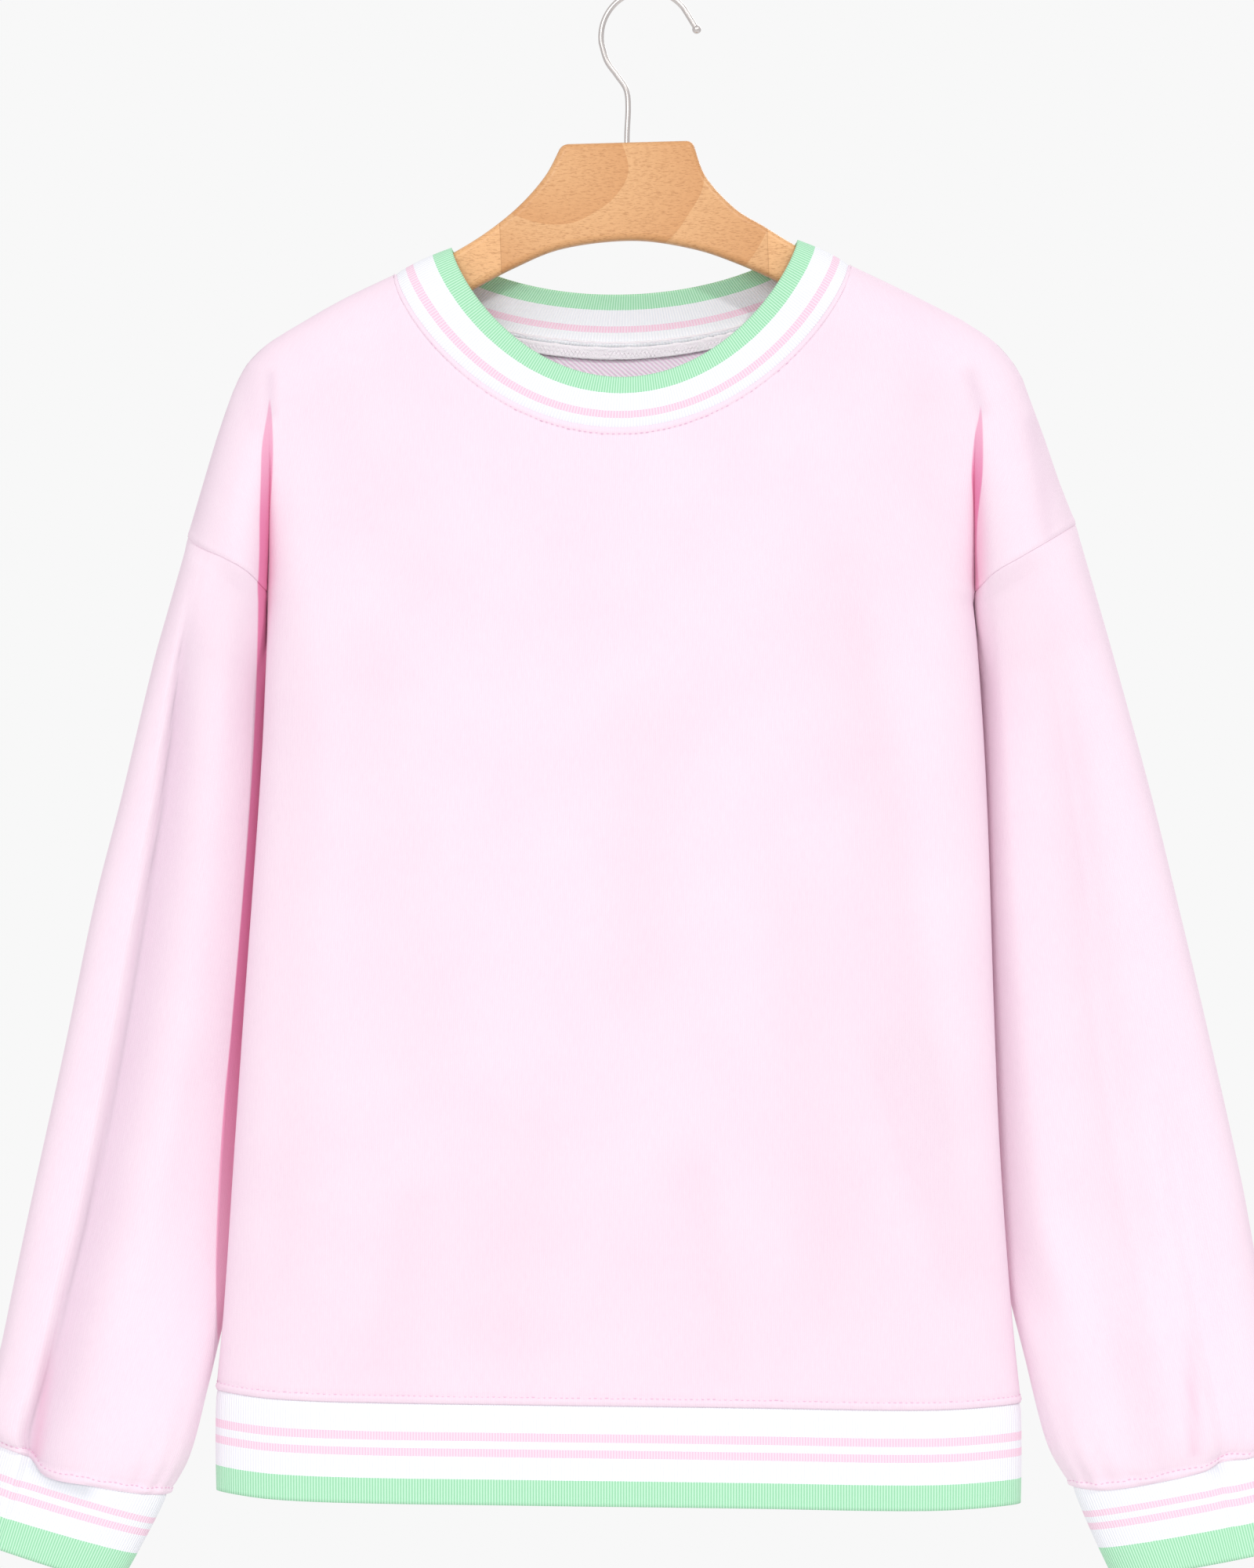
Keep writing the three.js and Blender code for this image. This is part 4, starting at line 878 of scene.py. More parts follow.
# Hem band
# stripes: where each begins, from the seam down; the back hangs a little longer
hemLook = dict(width=54.0, tucked=4.0, fullness=0.4, sink=0.9, narrowing=0.96, backDrop=4.0, backFrom=24,
               stripes=[(0, "white"), (15.5, "pink"), (20.0, "white"), (24.2, "pink"), (28.4, "white"),
                        (40.4, "mint")])
hemIds = [panels[face]["ids"]["body"] for face in ("front", "back")]
hemRim = joinRims(*[rimOf(face, ids[0], ids[4]) for face, ids in zip(("front", "back"), hemIds)])
hemRim = (hemRim[0], hemRim[1], np.broadcast_to([0.0, 0, -1], hemRim[0].shape))
hemDown = np.zeros_like(hemRim[0])
hemDown[:, 2] = hemLook["width"] + hemLook["backDrop"] * smoothStep(hemRim[0][:, 1] / hemLook["backFrom"])
hemFree = hemRim[0] * [1, hemLook["narrowing"], 1] - hemDown
hemRibMaterial = stripedRib("stripedHemRib", hemLook["width"] + hemLook["tucked"], hemLook["stripes"])
hemBand = ribBand("hem_rib_knit", "hem_rib", hemRim, hemFree, hemLook, True, hemRibMaterial)

# Neckband
neckLook = dict(evenWidth=28.5, fullness=1.0, sink=0.8,
                stripes=[(0, "white"), (5.9, "pink"), (9.7, "white"), (19.4, "mint")])
neckRim = joinRims(*[rimOf(face, ids[-1, neckOnly], ids[-4, neckOnly])
                     for face, ids in zip(("front", "back"), hemIds)])
neckShare = (columnAt[neckOnly] - cells["shoulder"]) / cells["neck"]
neckFree = []
for face, sign in (("front", -1), ("back", 1)):
    flat = neckPoints(neckShare, neckEdge[face], neckEdge["right"], neckEdge["left"])
    arch = np.maximum(np.sin(np.pi * endsCloser(neckShare, neckline["closer"])), 0) ** neckEdge["fullness"]
    neckFree.append(np.stack([flat[:, 0], sign * neckEdge[face + "Depth"] * arch, flat[:, 1]], -1))
neckFree = np.concatenate([neckFree[0], neckFree[1][1:-1][::-1]])
neckRim = (neckRim[0], neckRim[1], unit(neckFree - neckRim[0]))
neckRibMaterial = stripedRib("stripedNeckRib", neckLook["evenWidth"], neckLook["stripes"])
neckBand = ribBand("neck_rib_knit", "neck_rib", neckRim, neckFree, neckLook, False, neckRibMaterial)
print("stage: hem band and neckband made")


# Sleeves and cuffs
# how far down, outer edge x and z, inner edge x and z, outer and inner place in depth, half depth in front and
# behind, and how much thinner the inner part is, which passes behind the side of the body
sleeveTables = dict(right=[(0.03, -247.8, -303, -203.4, -331, 0, 11, 33.6, 32, 0),
                           (0.085, -255.6, -330, -201.6, -355, 0, 18, 33.2, 31, 0.3),
                           (0.14, -263.3, -357, -200, -380, 1, 22.5, 31, 29, 0.55),
                           (0.29, -281, -431, -199.5, -452, 1, 25, 30, 27, 0.6),
                           (0.43, -295.7, -489, -203, -514, 1, 25, 30, 26, 0.6),
                           (0.57, -311.6, -566, -210, -592, 1, 25, 29, 25, 0.6),
                           (0.72, -329.3, -647, -218, -673, 1, 22, 29, 25, 0.55),
                           (0.8, -338.8, -692, -228.4, -712, 1, 14, 29, 26, 0.35),
                           (0.86, -346, -727, -236.6, -747, 1, 6, 30, 27, 0.1),
                           (0.94, -355.5, -764, -246.2, -783, 0, 2, 27, 25, 0),
                           (1, -350.6, -775.5, -257.4, -803, 0, 0, 19, 18, 0)],
                    left=[(0.03, 232, -297, 174.8, -331, 0, 11, 33.6, 32, 0),
                          (0.085, 240, -324.5, 174.4, -355, 0, 19, 33.2, 31, 0.3),
                          (0.14, 248, -352, 174.4, -378, 1, 23, 31, 29, 0.6),
                          (0.29, 268.8, -428, 174.6, -452, 1, 22, 30, 27, 0.68),
                          (0.43, 283.5, -488, 176, -514, 1, 22, 30, 26, 0.68),
                          (0.57, 299.6, -556, 178.6, -582, 1, 22, 29, 25, 0.68),
                          (0.72, 317.5, -636, 185, -660, 1, 19, 29, 25, 0.62),
                          (0.8, 325.5, -680, 195.6, -700, 1, 12, 29, 26, 0.4),
                          (0.86, 331.5, -715, 202.6, -728, 1, 5, 30, 27, 0.1),
                          (0.94, 341.4, -766, 215, -776, 0, 0, 27, 25, 0),
                          (1, 332.6, -779.5, 228.2, -799, 0, 0, 20, 18, 0)])
thinFrom = dict(right=0.55, left=0.78)  # how far across the thinner part starts
# folds: place across at five heights, where it starts and ends, width towards the outer and inner edge, depth
sleeveFoldHeights = [0.05, 0.3, 0.5, 0.75, 1.0]
sleeveFolds = dict(right=[("front", (0.17, 0.25, 0.28, 0.26, 0.22), 0.04, 1.06, 0.022, 0.2, 12.0),
                          ("front", (0.66, 0.68, 0.7, 0.66, 0.6), 0.5, 1.0, 0.1, 0.14, 2.4),
                          ("back", (0.5, 0.48, 0.46, 0.44, 0.42), 0.1, 0.97, 0.15, 0.1, 5.5),
                          ("back", (0.24, 0.26, 0.28, 0.27, 0.24), 0.35, 1.04, 0.05, 0.12, 3.5)],
                   left=[("front", (0.42, 0.44, 0.47, 0.5, 0.52), 0.08, 0.86, 0.1, 0.16, 4.2),
                         ("front", (0.2, 0.22, 0.24, 0.26, 0.28), 0.6, 1.04, 0.1, 0.04, 6.0),
                         ("front", (0.76, 0.72, 0.7, 0.68, 0.66), 0.66, 0.98, 0.08, 0.1, 2.6),
                         ("back", (0.5, 0.52, 0.54, 0.57, 0.6), 0.1, 0.97, 0.1, 0.15, 5.5),
                         ("back", (0.3, 0.29, 0.27, 0.25, 0.22), 0.4, 1.03, 0.12, 0.05, 3.2)])
cuffTables = dict(right=(1, -363.4, -826.5, -283.6, -852, 0, 0, 16, 15, 0),
                  left=(1, 342.6, -832, 250.6, -849, 0, 0, 17, 15, 0))
sleeveSquareness = 2.5
gathers = dict(depth=0.8, reach=24.0, count=17)
armLean = dict(right=(-0.25, 0, -1), left=(0.2, 0, -1))  # the way the arm's end points
# how far the sleeve's end hangs down over the cuff, by the place across the front and across the back
overhangs = dict(right=dict(across=[0, 0.16, 0.24, 0.34, 0.6, 0.85, 1], front=[0, 0, 1.5, 7.5, 5, 2.5, 0],
                            back=[0, 2, 3, 5, 3, 2, 0]),
                 left=dict(across=[0, 0.12, 0.24, 0.36, 0.6, 0.85, 1], front=[0, 1, 0.5, 3, 4, 3.4, 0],
                           back=[0, 1, 3, 4, 3, 2, 0]))


# how wide the body's shade on the right sleeve is, by height
shadeWidths = [(-735, 2.0), (-717, 4.2), (-680, 7.6), (-638, 8.8), (-596, 8.8), (-554, 7.6), (-465, 6.4),
               (-385, 6.3), (-345, 5.8), (-321, 5.1)]


# the body's shade on the right sleeve: its strength at the top, how much lighter it grows, and where; and the
# soft shade of the left sleeve, its strength and reach
behindLook = dict(top=0.95, lighter=0.5, lighterFrom=-500, lighterOver=240, foot=-742, footOver=30,
                  left=0.4, leftReach=6)


def behindBody(side, x, z, facing):
    # distance past the line where the body's shade starts, its strength there, and the left sleeve's soft shade
    look = behindLook
    edge = readTable(sideSeams, 1 if side == "right" else 2, z)
    inside = (x - edge) if side == "right" else (edge - x)
    run = smoothStep((z - look["foot"]) / look["footOver"]) * smoothStep(-facing * 3 + 0.8)
    if side == "left":
        near = np.clip((inside + look["leftReach"]) / look["leftReach"], 0, 1)
        return 0 * x, 0 * x, look["left"] * near ** 2.0 * run
    strength = look["top"] - look["lighter"] * smoothStep((look["lighterFrom"] - z) / look["lighterOver"])
    return inside + readTable(shadeWidths, 1, z), strength * run, 0 * x


# the pleat at each cuff: its line in the front view, how strong and how wide its shade
pleats = dict(right=dict(line=[(-318.5, -712), (-325.5, -780)], strength=0.24, width=3.6),
              left=dict(line=[(287.3, -712), (291.5, -778)], strength=0.11, width=3.0))


def pleatShade(side, x, z):
    # strength * exp(-(distance / width)^2), growing downwards
    pleat = pleats[side]
    off = distanceTo(pleat["line"], x, z)
    return pleat["strength"] * np.exp(-(off / pleat["width"]) ** 2) * smoothStep((-z - 705) / 45)


# how strong the painted shade beside the sleeve's first fold is, and how far across it reaches
paintedFoldShades = dict(right=(0.33, 0.18), left=(0.09, 0.14))


def paintedFoldShade(side, at, across):
    # painted shade beside the first fold: sharp at the fold's line, and fading towards the inner edge
    _, places, start, _, _, _, _ = sleeveFolds[side][0]
    off = across[None] - fromTable(sleeveFoldHeights, places, at)[:, None]
    most, reach = paintedFoldShades[side]
    profile = np.where(off > 0, np.exp(-np.abs(off / reach) ** 1.8), np.exp(-(off / 0.014) ** 2))
    return most * profile * smoothStep((at[:, None] - start) * 7)


def acrossOf(angle):
    return (1 - np.sign(np.cos(angle)) * np.abs(np.cos(angle)) ** (2 / sleeveSquareness)) / 2


def sleeveSurface(table, foldTable, at, angle, thinStart=0.55):
    # bulge = |sin a|^0.8; y = middle -+ depth * bulge * thinner, less the folds, where
    # thinner = 1 - thin * smoothStep((across - thinStart) / (1 - thinStart))
    at = np.asarray(at, float)
    if len(table) > 1:
        row = [readTable(table, column, at)[:, None] for column in range(1, 10)]
    else:
        row = np.array(table[0][1:], float)
    outX, outZ, inX, inZ, outY, inY, front, back, thin = row
    across = acrossOf(angle)[None]
    bulge = np.abs(np.sin(angle)[None]) ** (2 / sleeveSquareness)
    isFront = np.sin(angle)[None] >= 0
    thinner = 1 - thin * smoothStep((across - thinStart) / (1 - thinStart))
    depth = np.where(isFront, front, back) * bulge * thinner + 0 * at[:, None]
    for face, places, start, end, widthOut, widthIn, deep in foldTable:
        share = (at[:, None] - start) / (end - start)
        place = fromTable(sleeveFoldHeights, places, at)[:, None]
        fade = smoothStep(share * 5) * smoothStep((1 - share) * 8)
        width = np.where(across < place, widthOut, widthIn)
        trough = deep * fade * np.exp(-((across - place) / width) ** 2) * bulge
        depth = depth - trough * (isFront == (face == "front"))
    x = outX + (inX - outX) * across
    z = outZ + (inZ - outZ) * across
    y = outY + (inY - outY) * across + np.where(isFront, -depth, depth)
    return np.stack(np.broadcast_arrays(x, y, z), -1)


cuffLook = dict(width=50.0, tucked=4.0, fullness=0.6, sink=0.9,
                stripes=[(0, "white"), (14.5, "pink"), (18.0, "white"), (21.5, "pink"), (25.5, "white"),
                         (36.0, "mint")])
cuffRibMaterial = stripedRib("stripedCuffRib", cuffLook["width"] + cuffLook["tucked"], cuffLook["stripes"])
# the shade that the sleeve's end throws on the cuff
cuffShades = dict(right=dict(line=[(-326, -786), (-315.4, -794.5), (-300, -799)], strength=0.55, reach=5.0),
                  left=dict(line=[(291, -786), (304, -788)], strength=0.3, reach=4.0))
sleeves, cuffs, sleeveSheets = {}, {}, {}
for side in ("right", "left"):
    rim = joinRims(*[rimOf(face, panels[face]["ids"][side][0, ::-1], panels[face]["ids"][side][4, ::-1])
                     for face in ("front", "back")])
    columns = len(rim[0])
    # the rim's points lie closer together towards the armpit, and the rings keep to them
    angle = 2 * np.pi * np.arange(columns) / columns
    rowPlace = gradual(0, cells["sleeve"], cells["sleeve"] * fineness["sleeveRows"],
                       np.r_[beside * 2, cells["sleeve"] - beside * 0.5])
    down = rowPlace - 1
    at = 0.03 + 0.97 * np.sign(down) * (np.abs(down) / (cells["sleeve"] - 1)) ** 0.94
    onSleeve = np.clip(at, 0.03, 1)
    ring = sleeveSurface(sleeveTables[side], sleeveFolds[side], onSleeve, angle, thinFrom[side])
    seam = rim[0] + rim[2] * 0.3
    take = (1 - (1 - np.clip(rowPlace / 1.6, 0, 1)) ** 2)[:, None, None]
    surface = seam[None] * (1 - take) + ring * take
    fromTop = fromEdge(surface, 0, 0)[..., None]
    surface = surface - rim[1][None] * 0.45 * np.exp(-fromTop / 2.0)
    toCuff = fromEdge(surface, 0, -1)
    grid = np.concatenate([np.stack([rim[0] + rim[2] * d - rim[1] * inside for d, inside in tuck]), surface])
    faces, uvFaces = closedTube(grid, side == "right")
    normals = pointNormals(grid.reshape(-1, 3), faces).reshape(grid.shape)
    # gathers above the cuff, the roll along its seam, and the end that hangs down over it
    wave = np.cos(gathers["count"] * angle + 1.7 * np.sin(3 * angle)) + 0.6 * np.cos(11 * angle + 2)
    gathered = -gathers["depth"] * wave[None] * np.exp(-toCuff / gathers["reach"]) * smoothStep(toCuff / 3)
    hangs = overhangs[side]
    hang = np.where(np.sin(angle) >= 0, *[fromTable(hangs["across"], hangs[face], acrossOf(angle))
                                          for face in ("front", "back")])[None]
    aroundCuff = np.r_[0, np.cumsum(np.linalg.norm(np.diff(surface[-1], axis=0), axis=-1))]
    proud = 0.25 * hang * np.exp(-toCuff / 7) + pucker(aroundCuff[None], toCuff)
    none = np.zeros((len(tuck), columns))
    offset = np.concatenate([none, gathered + seamRoll(toCuff, **hemRoll) + proud])
    drop = np.concatenate([none, hang * np.exp(-toCuff / 16)])
    lean = unit(np.array(armLean[side], float))
    grid = grid + normals * offset[..., None] + lean * drop[..., None]
    points = grid.reshape(-1, 3)
    # painted shade: the body's shadow on the right sleeve, pink shade beside the body on the left one, grey
    # shade beside the first fold, and pink and grey shade in the pleat at the cuff
    x, z, facing = points[:, 0], points[:, 2], normals.reshape(-1, 3)[:, 1]
    pastEdge, underEdge, inFold = behindBody(side, x, z, facing)
    tone = paintedFoldShade(side, onSleeve, acrossOf(angle)) * (np.sin(angle) > 0)
    tone = np.concatenate([none, tone]).reshape(-1)
    pleated = pleatShade(side, x, z) * (facing < 0)
    shades = clothShades(len(points), inFold=np.maximum(inFold, pleated), inShade=np.maximum(tone, pleated),
                         pastEdge=pastEdge, underEdge=underEdge)
    uv = aroundAndDown(grid, len(tuck))
    sleeve = newPiece("sleeve_" + side + "_cloth", points, faces, [jersey, terry], uv, uvFaces, shades)
    giveThickness(sleeve, clothThickness, 1)
    rideAs(sleeve, "sleeve_" + side)
    sleeves[side] = sleeve
    sleeveSheets[side] = dict(points=points, normals=pointNormals(points, faces),
                              ids=np.arange(len(points)).reshape(grid.shape[:2]))
    # cuff: from the wrist to its free edge, leaning as the arm does
    wristRim = (surface[-1], normals[-1], np.broadcast_to(lean, surface[-1].shape))
    cuffFree = sleeveSurface([cuffTables[side]], [], [1.0], angle)[0]
    cuffs[side] = ribBand("cuff_" + side + "_knit", "cuff_" + side, wristRim, cuffFree, cuffLook,
                          side == "right", cuffRibMaterial, cuffShades[side])
print("stage: sleeves and cuffs made")


# Seam allowance inside the back of the neck
# clear and stand keep it off the back, fuzz is how uneven it is, skip is the columns left free at each end
allowance = dict(width=10.0, thickness=1.2, clear=0.4, stand=0.4, skip=5, fuzz=0.35, rows=13)
firstColumn = cells["shoulder"] + allowance["skip"]
stripColumns = (columnAt >= firstColumn) & (columnAt <= bodyColumns - firstColumn)
stripBelow = panels["back"]["ids"]["body"][:, stripColumns]
stripLines = [besideSeam(panels["back"], stripBelow, -1, distance)
              for distance in np.linspace(0, allowance["width"], allowance["rows"])]
stripGrid, stripNormals = [np.stack(part) for part in zip(*stripLines)]
fuzz = allowance["fuzz"] * np.random.default_rng(7).random(stripGrid.shape[:2])[..., None]
clear = (clothThickness + allowance["thickness"]) / 2 + allowance["clear"] + allowance["stand"]
stripGrid = stripGrid - stripNormals * (clear + fuzz)
stripIds = np.arange(stripGrid.shape[0] * stripGrid.shape[1]).reshape(stripGrid.shape[:2])
seamStrip = newPiece("back_neck_overlock", stripGrid.reshape(-1, 3), gridFaces(stripIds), [overlockThread()])
giveThickness(seamStrip, allowance["thickness"])
rideAs(seamStrip, "back_neck_seam")
print("stage: neck seam allowance made")


# Sewing threads
# rise is how far a stitch's middle stands out, unevenLength a share of its length, unevenAside in millimetres
stitchLook = dict(pitch=3.0, length=2.5, radius=0.2, rise=0.3, rings=7, sides=6, unevenLength=0.08,
                  unevenAside=0.12)


def stitchRow(points, normals, closed, seed):
    # starts and ends of stitches along a line, one each pitch, a little uneven
    if closed:
        points, normals = np.concatenate([points, points[:1]]), np.concatenate([normals, normals[:1]])
    length = np.r_[0, np.cumsum(np.linalg.norm(np.diff(points, axis=0), axis=-1))]
    count = int(length[-1] / stitchLook["pitch"])
    random = np.random.default_rng(seed)
    middle = (np.arange(count) + 0.5) * length[-1] / count
    half = stitchLook["length"] / 2 * (1 + stitchLook["unevenLength"] * random.standard_normal(count))
    starts, ends = [atPlaces(np.clip(middle + way * half, 0, length[-1]), length, points) for way in (-1, 1)]
    out = unit(atPlaces(middle, length, normals))
    aside = stitchLook["unevenAside"] * random.standard_normal((count, 1)) * np.cross(unit(ends - starts), out)
    return starts + aside, ends + aside, out


def onSurface(row, lift=clothThickness / 2 - 0.05):
    # moves a line of stitches from the middle of the wall to its outer face
    starts, ends, normals = row
    return starts + normals * lift, ends + normals * lift, normals


def threadPiece(name, rows, material):
    # short bowed threads from each start to its end, as tubes: y = rise * (1 - 2.4 (2t - 1)^2), so that the
    # ends dip into the cloth, and the radius is less there
    starts, ends, normals = [np.concatenate(part) for part in zip(*rows)]
    rings, sides = stitchLook["rings"], stitchLook["sides"]
    t = np.linspace(0, 1, rings)[None, :, None]
    out = unit(normals)[:, None]
    across = np.cross(unit(ends - starts)[:, None], out)
    bow = stitchLook["rise"] * (1 - 2.4 * (2 * t - 1) ** 2)
    line = starts[:, None] * (1 - t) + ends[:, None] * t + out * bow
    thick = stitchLook["radius"] * np.sqrt(1 - 0.75 * (2 * t - 1) ** 2)[..., None]
    turn = (2 * np.pi * np.arange(sides) / sides)[None, None, :, None]
    points = line[:, :, None] + thick * (out[:, :, None] * np.cos(turn) + across[:, :, None] * np.sin(turn))
    ids = np.arange(points.size // 3).reshape(points.shape[:3])
    quads = gridFaces(np.concatenate([ids, ids[..., :1]], -1))
    caps = ids[:, 0, ::-1].tolist() + ids[:, -1].tolist()
    piece = newPiece(name, points.reshape(-1, 3), quads, [material], caps=caps)
    rideAs(piece)


def roundBody(start, distance, columns):
    # a line round both panels at a distance from a seam
    front, back = [besideSeam(panels[face], panels[face]["ids"]["body"][:, columns], start, distance)
                   for face in ("front", "back")]
    return [np.concatenate([f, b[::-1]]) for f, b in zip(front, back)]


threads = sewingThread()
neckRow = stitchRow(*roundBody(-1, neckRoll["stitchAt"], neckOnly), True, 3)
hemRow = stitchRow(*roundBody(0, hemRoll["stitchAt"], slice(None)), True, 4)
cuffRows = [stitchRow(*besideSeam(sheet, sheet["ids"], -1, hemRoll["stitchAt"]), True, 5)
            for sheet in sleeveSheets.values()]
for name, rows in (("neck", [neckRow]), ("hem", [hemRow]), ("cuff", cuffRows)):
    threadPiece(name + "_topstitch", [onSurface(row) for row in rows], threads)

# overlock threads over the raw edge, slanting both ways, and the chain along their top
overlockLook = dict(count=116, slant=1.2, topRow=2, lowRow=-1, middleRow=6, lift=0.1)
stripPlaces = np.arange(stripGrid.shape[1])
topAt = np.linspace(0, stripPlaces[-1], overlockLook["count"])
lowAt = np.clip(topAt + overlockLook["slant"], 0, stripPlaces[-1])
inward = -atPlaces(topAt, stripPlaces, stripNormals[overlockLook["middleRow"]])
lift = inward * (allowance["thickness"] / 2 + overlockLook["lift"])
upper, lower = [[atPlaces(at, stripPlaces, stripGrid[overlockLook[row]]) + lift for at in (topAt, lowAt)]
                for row in ("topRow", "lowRow")]
overlockRows = [(upper[0], lower[1], inward), (upper[1], lower[0], inward),
                stitchRow(upper[0], inward, False, 6)]
threadPiece("back_neck_overlock_threads", overlockRows, overlockThread())
print("stage: sewing threads made")


# Hanger and hook
hangerLook = dict(thickness=12.0, edgeRound=3.6, edgeSteps=6)
# the wire goes up the stem and round the arc, whose degrees are from, to and step, to the ball at its tip
hookLook = dict(wireRadius=1.5, radius=24.8, ball=2.4, tip=(27.7, -21.3), arc=(188, 33, -5), sides=20,
                closed=0.02,
                stem=[(-10.9, -93.4), (-10.9, -76), (-10.3, -60), (-11.4, -51.4), (-16.4, -43.8),
                      (-21.6, -36.4)])


def spline(corners, steps):
    # uniform Catmull-Rom curve through the corners
    p = np.array(corners, float)
    p = np.concatenate([p[:1], p, p[-1:]])
    t = (np.arange(steps) / steps)[None, :, None]
    a, b, c, d = p[:-3, None], p[1:-2, None], p[2:-1, None], p[3:, None]
    curve = 0.5 * (2 * b + (c - a) * t + (2 * a - 5 * b + 4 * c - d) * t ** 2
                   + (3 * b - a - 3 * c + d) * t ** 3)
    return np.concatenate([curve.reshape(-1, 2), p[-1:]])


def quadratic(start, control, end, steps):
    # (1-t)^2 start + 2t(1-t) control + t^2 end
    t = np.linspace(0, 1, steps + 1)[:, None]
    return (1 - t) ** 2 * np.array(start) + 2 * t * (1 - t) * np.array(control) + t ** 2 * np.array(end)


hangerOutline = np.concatenate([
    np.array([(-42, -80.9), (-30, -80.58), (0, -79.75), (20.4, -79.2)]),
    quadratic((20.4, -79.2), (24.4, -79), (25.4, -83), 8)[1:],
    spline([(25.4, -83), (31.6, -98.8), (47, -115.4), (62.6, -125), (79, -135), (108, -151.2)], 10)[1:],
    spline([(108, -151.2), (138, -165.2), (168, -180.2)], 6)[1:],
    spline([(168, -180.2), (182.6, -189.8), (190.4, -198.4), (190.6, -207), (184, -213.4),
            (174, -212.4)], 8)[1:],
    spline([(92, -166.4), (71.8, -155.4), (48, -144.6), (23.5, -136.6), (-8, -132.4), (-44.9, -136.6),
            (-72, -147.4), (-94.9, -159.6)], 10),
    spline([(-192, -215.6), (-202, -216.8), (-209.2, -210.6), (-209.2, -201.4), (-202.4, -193.2)], 8),
    spline([(-202.4, -193.2), (-193, -186.8), (-164, -170), (-134, -155.4)], 6)[1:],
    spline([(-134, -155.4), (-105.4, -140), (-85.7, -127.8), (-68.5, -113.8), (-55, -98.4),
            (-47.6, -84.8)], 10)[1:],
    quadratic((-47.6, -84.8), (-46.2, -81.1), (-42, -80.9), 8)[1:-1]])


def roundedBoard(outline, thickness, edgeRound, edgeSteps):
    # the outline moved in by r(1 - sin a) at depth half - r(1 - cos a), round each edge
    before, after = np.roll(outline, 1, 0), np.roll(outline, -1, 0)
    tangent = unit(unit(outline - before) + unit(after - outline))
    inward = np.stack([tangent[:, 1], -tangent[:, 0]], -1)
    turn = np.linspace(0, np.pi / 2, edgeSteps + 1)
    inset = edgeRound * (1 - np.sin(turn))
    depth = thickness / 2 - edgeRound * (1 - np.cos(turn))
    # one more ring on the flat face keeps its shading flat
    inset = np.r_[edgeRound + 0.12, inset, inset[::-1], edgeRound + 0.12]
    y = np.r_[-thickness / 2, -depth, depth[::-1], thickness / 2]
    flat = outline[None] + inward[None] * inset[:, None, None]
    return np.stack([flat[..., 0], np.broadcast_to(y[:, None], flat.shape[:2]), flat[..., 1]], -1)


boardGrid = roundedBoard(hangerOutline, **hangerLook)
boardIds = np.arange(boardGrid.shape[0] * boardGrid.shape[1]).reshape(boardGrid.shape[:2])
boardCaps = [boardIds[0].tolist(), boardIds[-1, ::-1].tolist()]
hangerBoard = newPiece("hanger_board", boardGrid.reshape(-1, 3), closedTube(boardGrid, False)[0],
                       [lacqueredBeech()], caps=boardCaps, flatCaps=True)
rideAs(hangerBoard, "hanger")

hookMiddleZ = -hookLook["radius"] + hookLook["wireRadius"]
turns = np.radians(np.arange(*hookLook["arc"]))
arc = [(hookLook["radius"] * np.cos(a), hookMiddleZ + hookLook["radius"] * np.sin(a)) for a in turns]
route = np.array(hookLook["stem"] + arc + [hookLook["tip"]])
routeLength = np.hypot(*np.diff(route, axis=0).T).sum()
# even steps, and finer ones round the ball
share = np.unique(np.r_[np.linspace(0, 1, 240), 1 - np.linspace(0, 6, 25) / routeLength])
line = alongLine(route, share)
tangent = unit(np.gradient(line, share, axis=0))
left = routeLength * (1 - share)
ball = hookLook["ball"]
wire = hookLook["wireRadius"] * (left > ball)
inBall = np.sqrt(np.maximum(ball ** 2 - (left - ball) ** 2, 0))
radius = np.where(left < 2 * ball, np.maximum(wire, inBall), hookLook["wireRadius"])
radius[[0, -1]] = hookLook["closed"]
around = 2 * np.pi * np.arange(hookLook["sides"]) / hookLook["sides"]
across = radius[:, None] * np.cos(around)
hookGrid = np.stack([line[:, None, 0] - tangent[:, None, 1] * across, radius[:, None] * np.sin(around),
                     line[:, None, 1] + tangent[:, None, 0] * across], -1)
hookFaces, hookUvFaces = closedTube(hookGrid, False)
hookWire = newPiece("hook_wire", hookGrid.reshape(-1, 3), hookFaces, [brushedNickel()],
                    aroundAndDown(hookGrid, 0), hookUvFaces)
rideAs(hookWire, "hook")
print("stage: hanger and hook made")


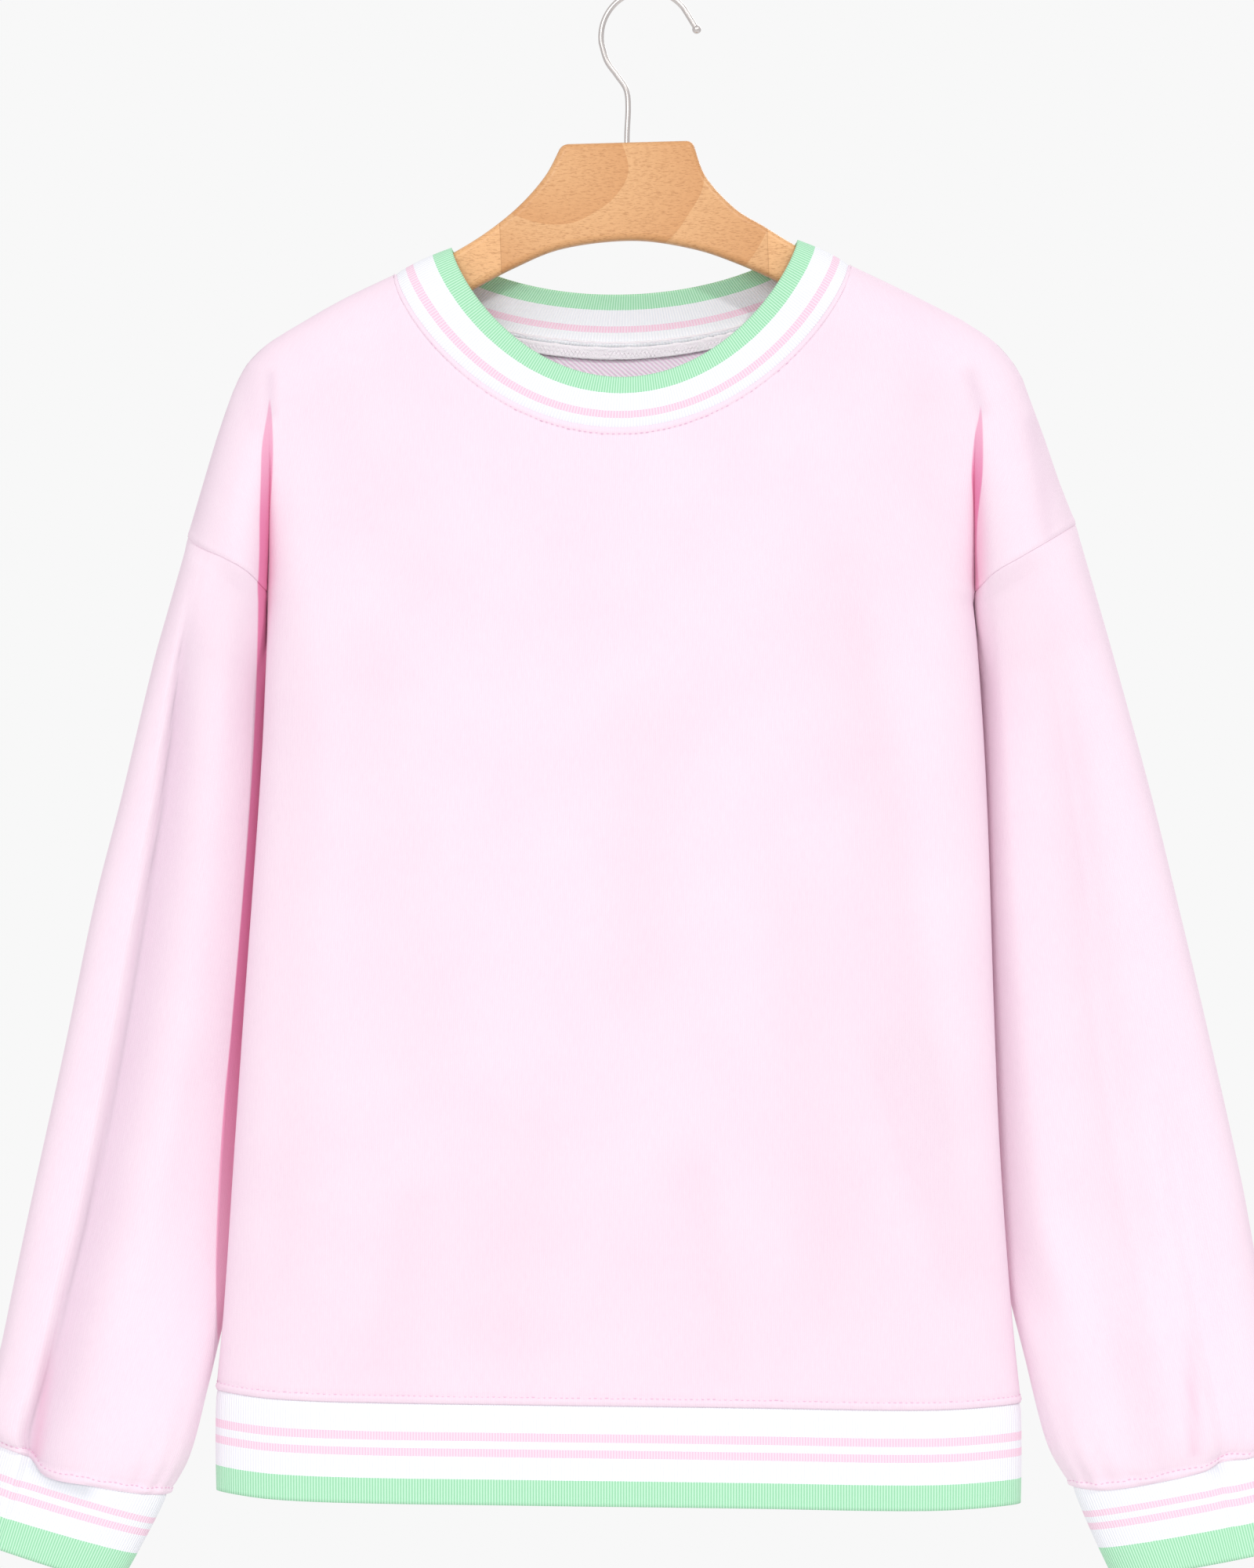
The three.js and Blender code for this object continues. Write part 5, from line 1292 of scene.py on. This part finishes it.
# Studio
floorLook = dict(z=-1150.0, half=1700.0, dark="#F1F1F1", light="#F6F6F6")
floorMaterial, add = newMaterial("paintedFloor")
grain = add("TexNoise", {"Scale": 3.0, "Detail": 3.0, "Vector": add("TexCoord", {}).outputs["Object"]})
color = add("MixRGB", {"Color1": linear(floorLook["dark"]), "Color2": linear(floorLook["light"]), "Fac": grain})
finishMaterial(floorMaterial, {"Roughness": 0.8, "Base Color": color})
ends = [-floorLook["half"], floorLook["half"]]
floorGrid = np.stack(np.meshgrid(ends, ends, indexing="ij") + [np.full((2, 2), floorLook["z"])], -1)
floor = newPiece("floor", floorGrid.reshape(-1, 3), gridFaces(np.arange(4).reshape(2, 2)), [floorMaterial])

# an even glow and three soft suns: for each, its strength, degrees to the right of the camera, degrees above
# it, and softness in degrees; the key throws the body's shade on the wearer's right sleeve
studioLook = dict(glow=0.72, key=(0.74, 32.0, 32.0, 3.0), fill=(0.8, -18.0, 16.0, 28.0),
                  back=(0.75, 160.0, 24.0, 30.0))
world = bpy.data.worlds.new("studio")
bpy.context.scene.world = world
world.use_nodes = True
world.node_tree.nodes.clear()
add = partial(addNode, world.node_tree)
seen = add("LightPath", {}).outputs["Is Camera Ray"]
glow = add("Background", {"Color": linear("#FDFBFF"), "Strength": studioLook["glow"]})
paper = add("Background", {"Color": linear("#F8F8F8"), "Strength": 1.0})
add("OutputWorld", {"Surface": add("MixShader", {0: seen, 1: glow, 2: paper})})

for name in ("key", "fill", "back"):
    strength, aside, above, softness = studioLook[name]
    sunData = bpy.data.lights.new(name + "Light", "SUN")
    sunData.energy = strength
    sunData.angle = np.radians(softness)
    sun = bpy.data.objects.new(name + "Light", sunData)
    aside, above = np.radians(aside), np.radians(above)
    fromSun = Vector((-np.sin(aside) * np.cos(above), np.cos(aside) * np.cos(above), -np.sin(above)))
    sun.rotation_euler = fromSun.to_track_quat("-Z", "Y").to_euler()
    bpy.context.scene.collection.objects.link(sun)
bpy.context.scene.view_settings.view_transform = "Standard"
bpy.context.scene.view_settings.look = "None"

triangles = sum(len(o.data.polygons) * 2 for o in bpy.data.objects if o.type == "MESH")
print("stage: scene made, about", triangles, "triangles before thickness")
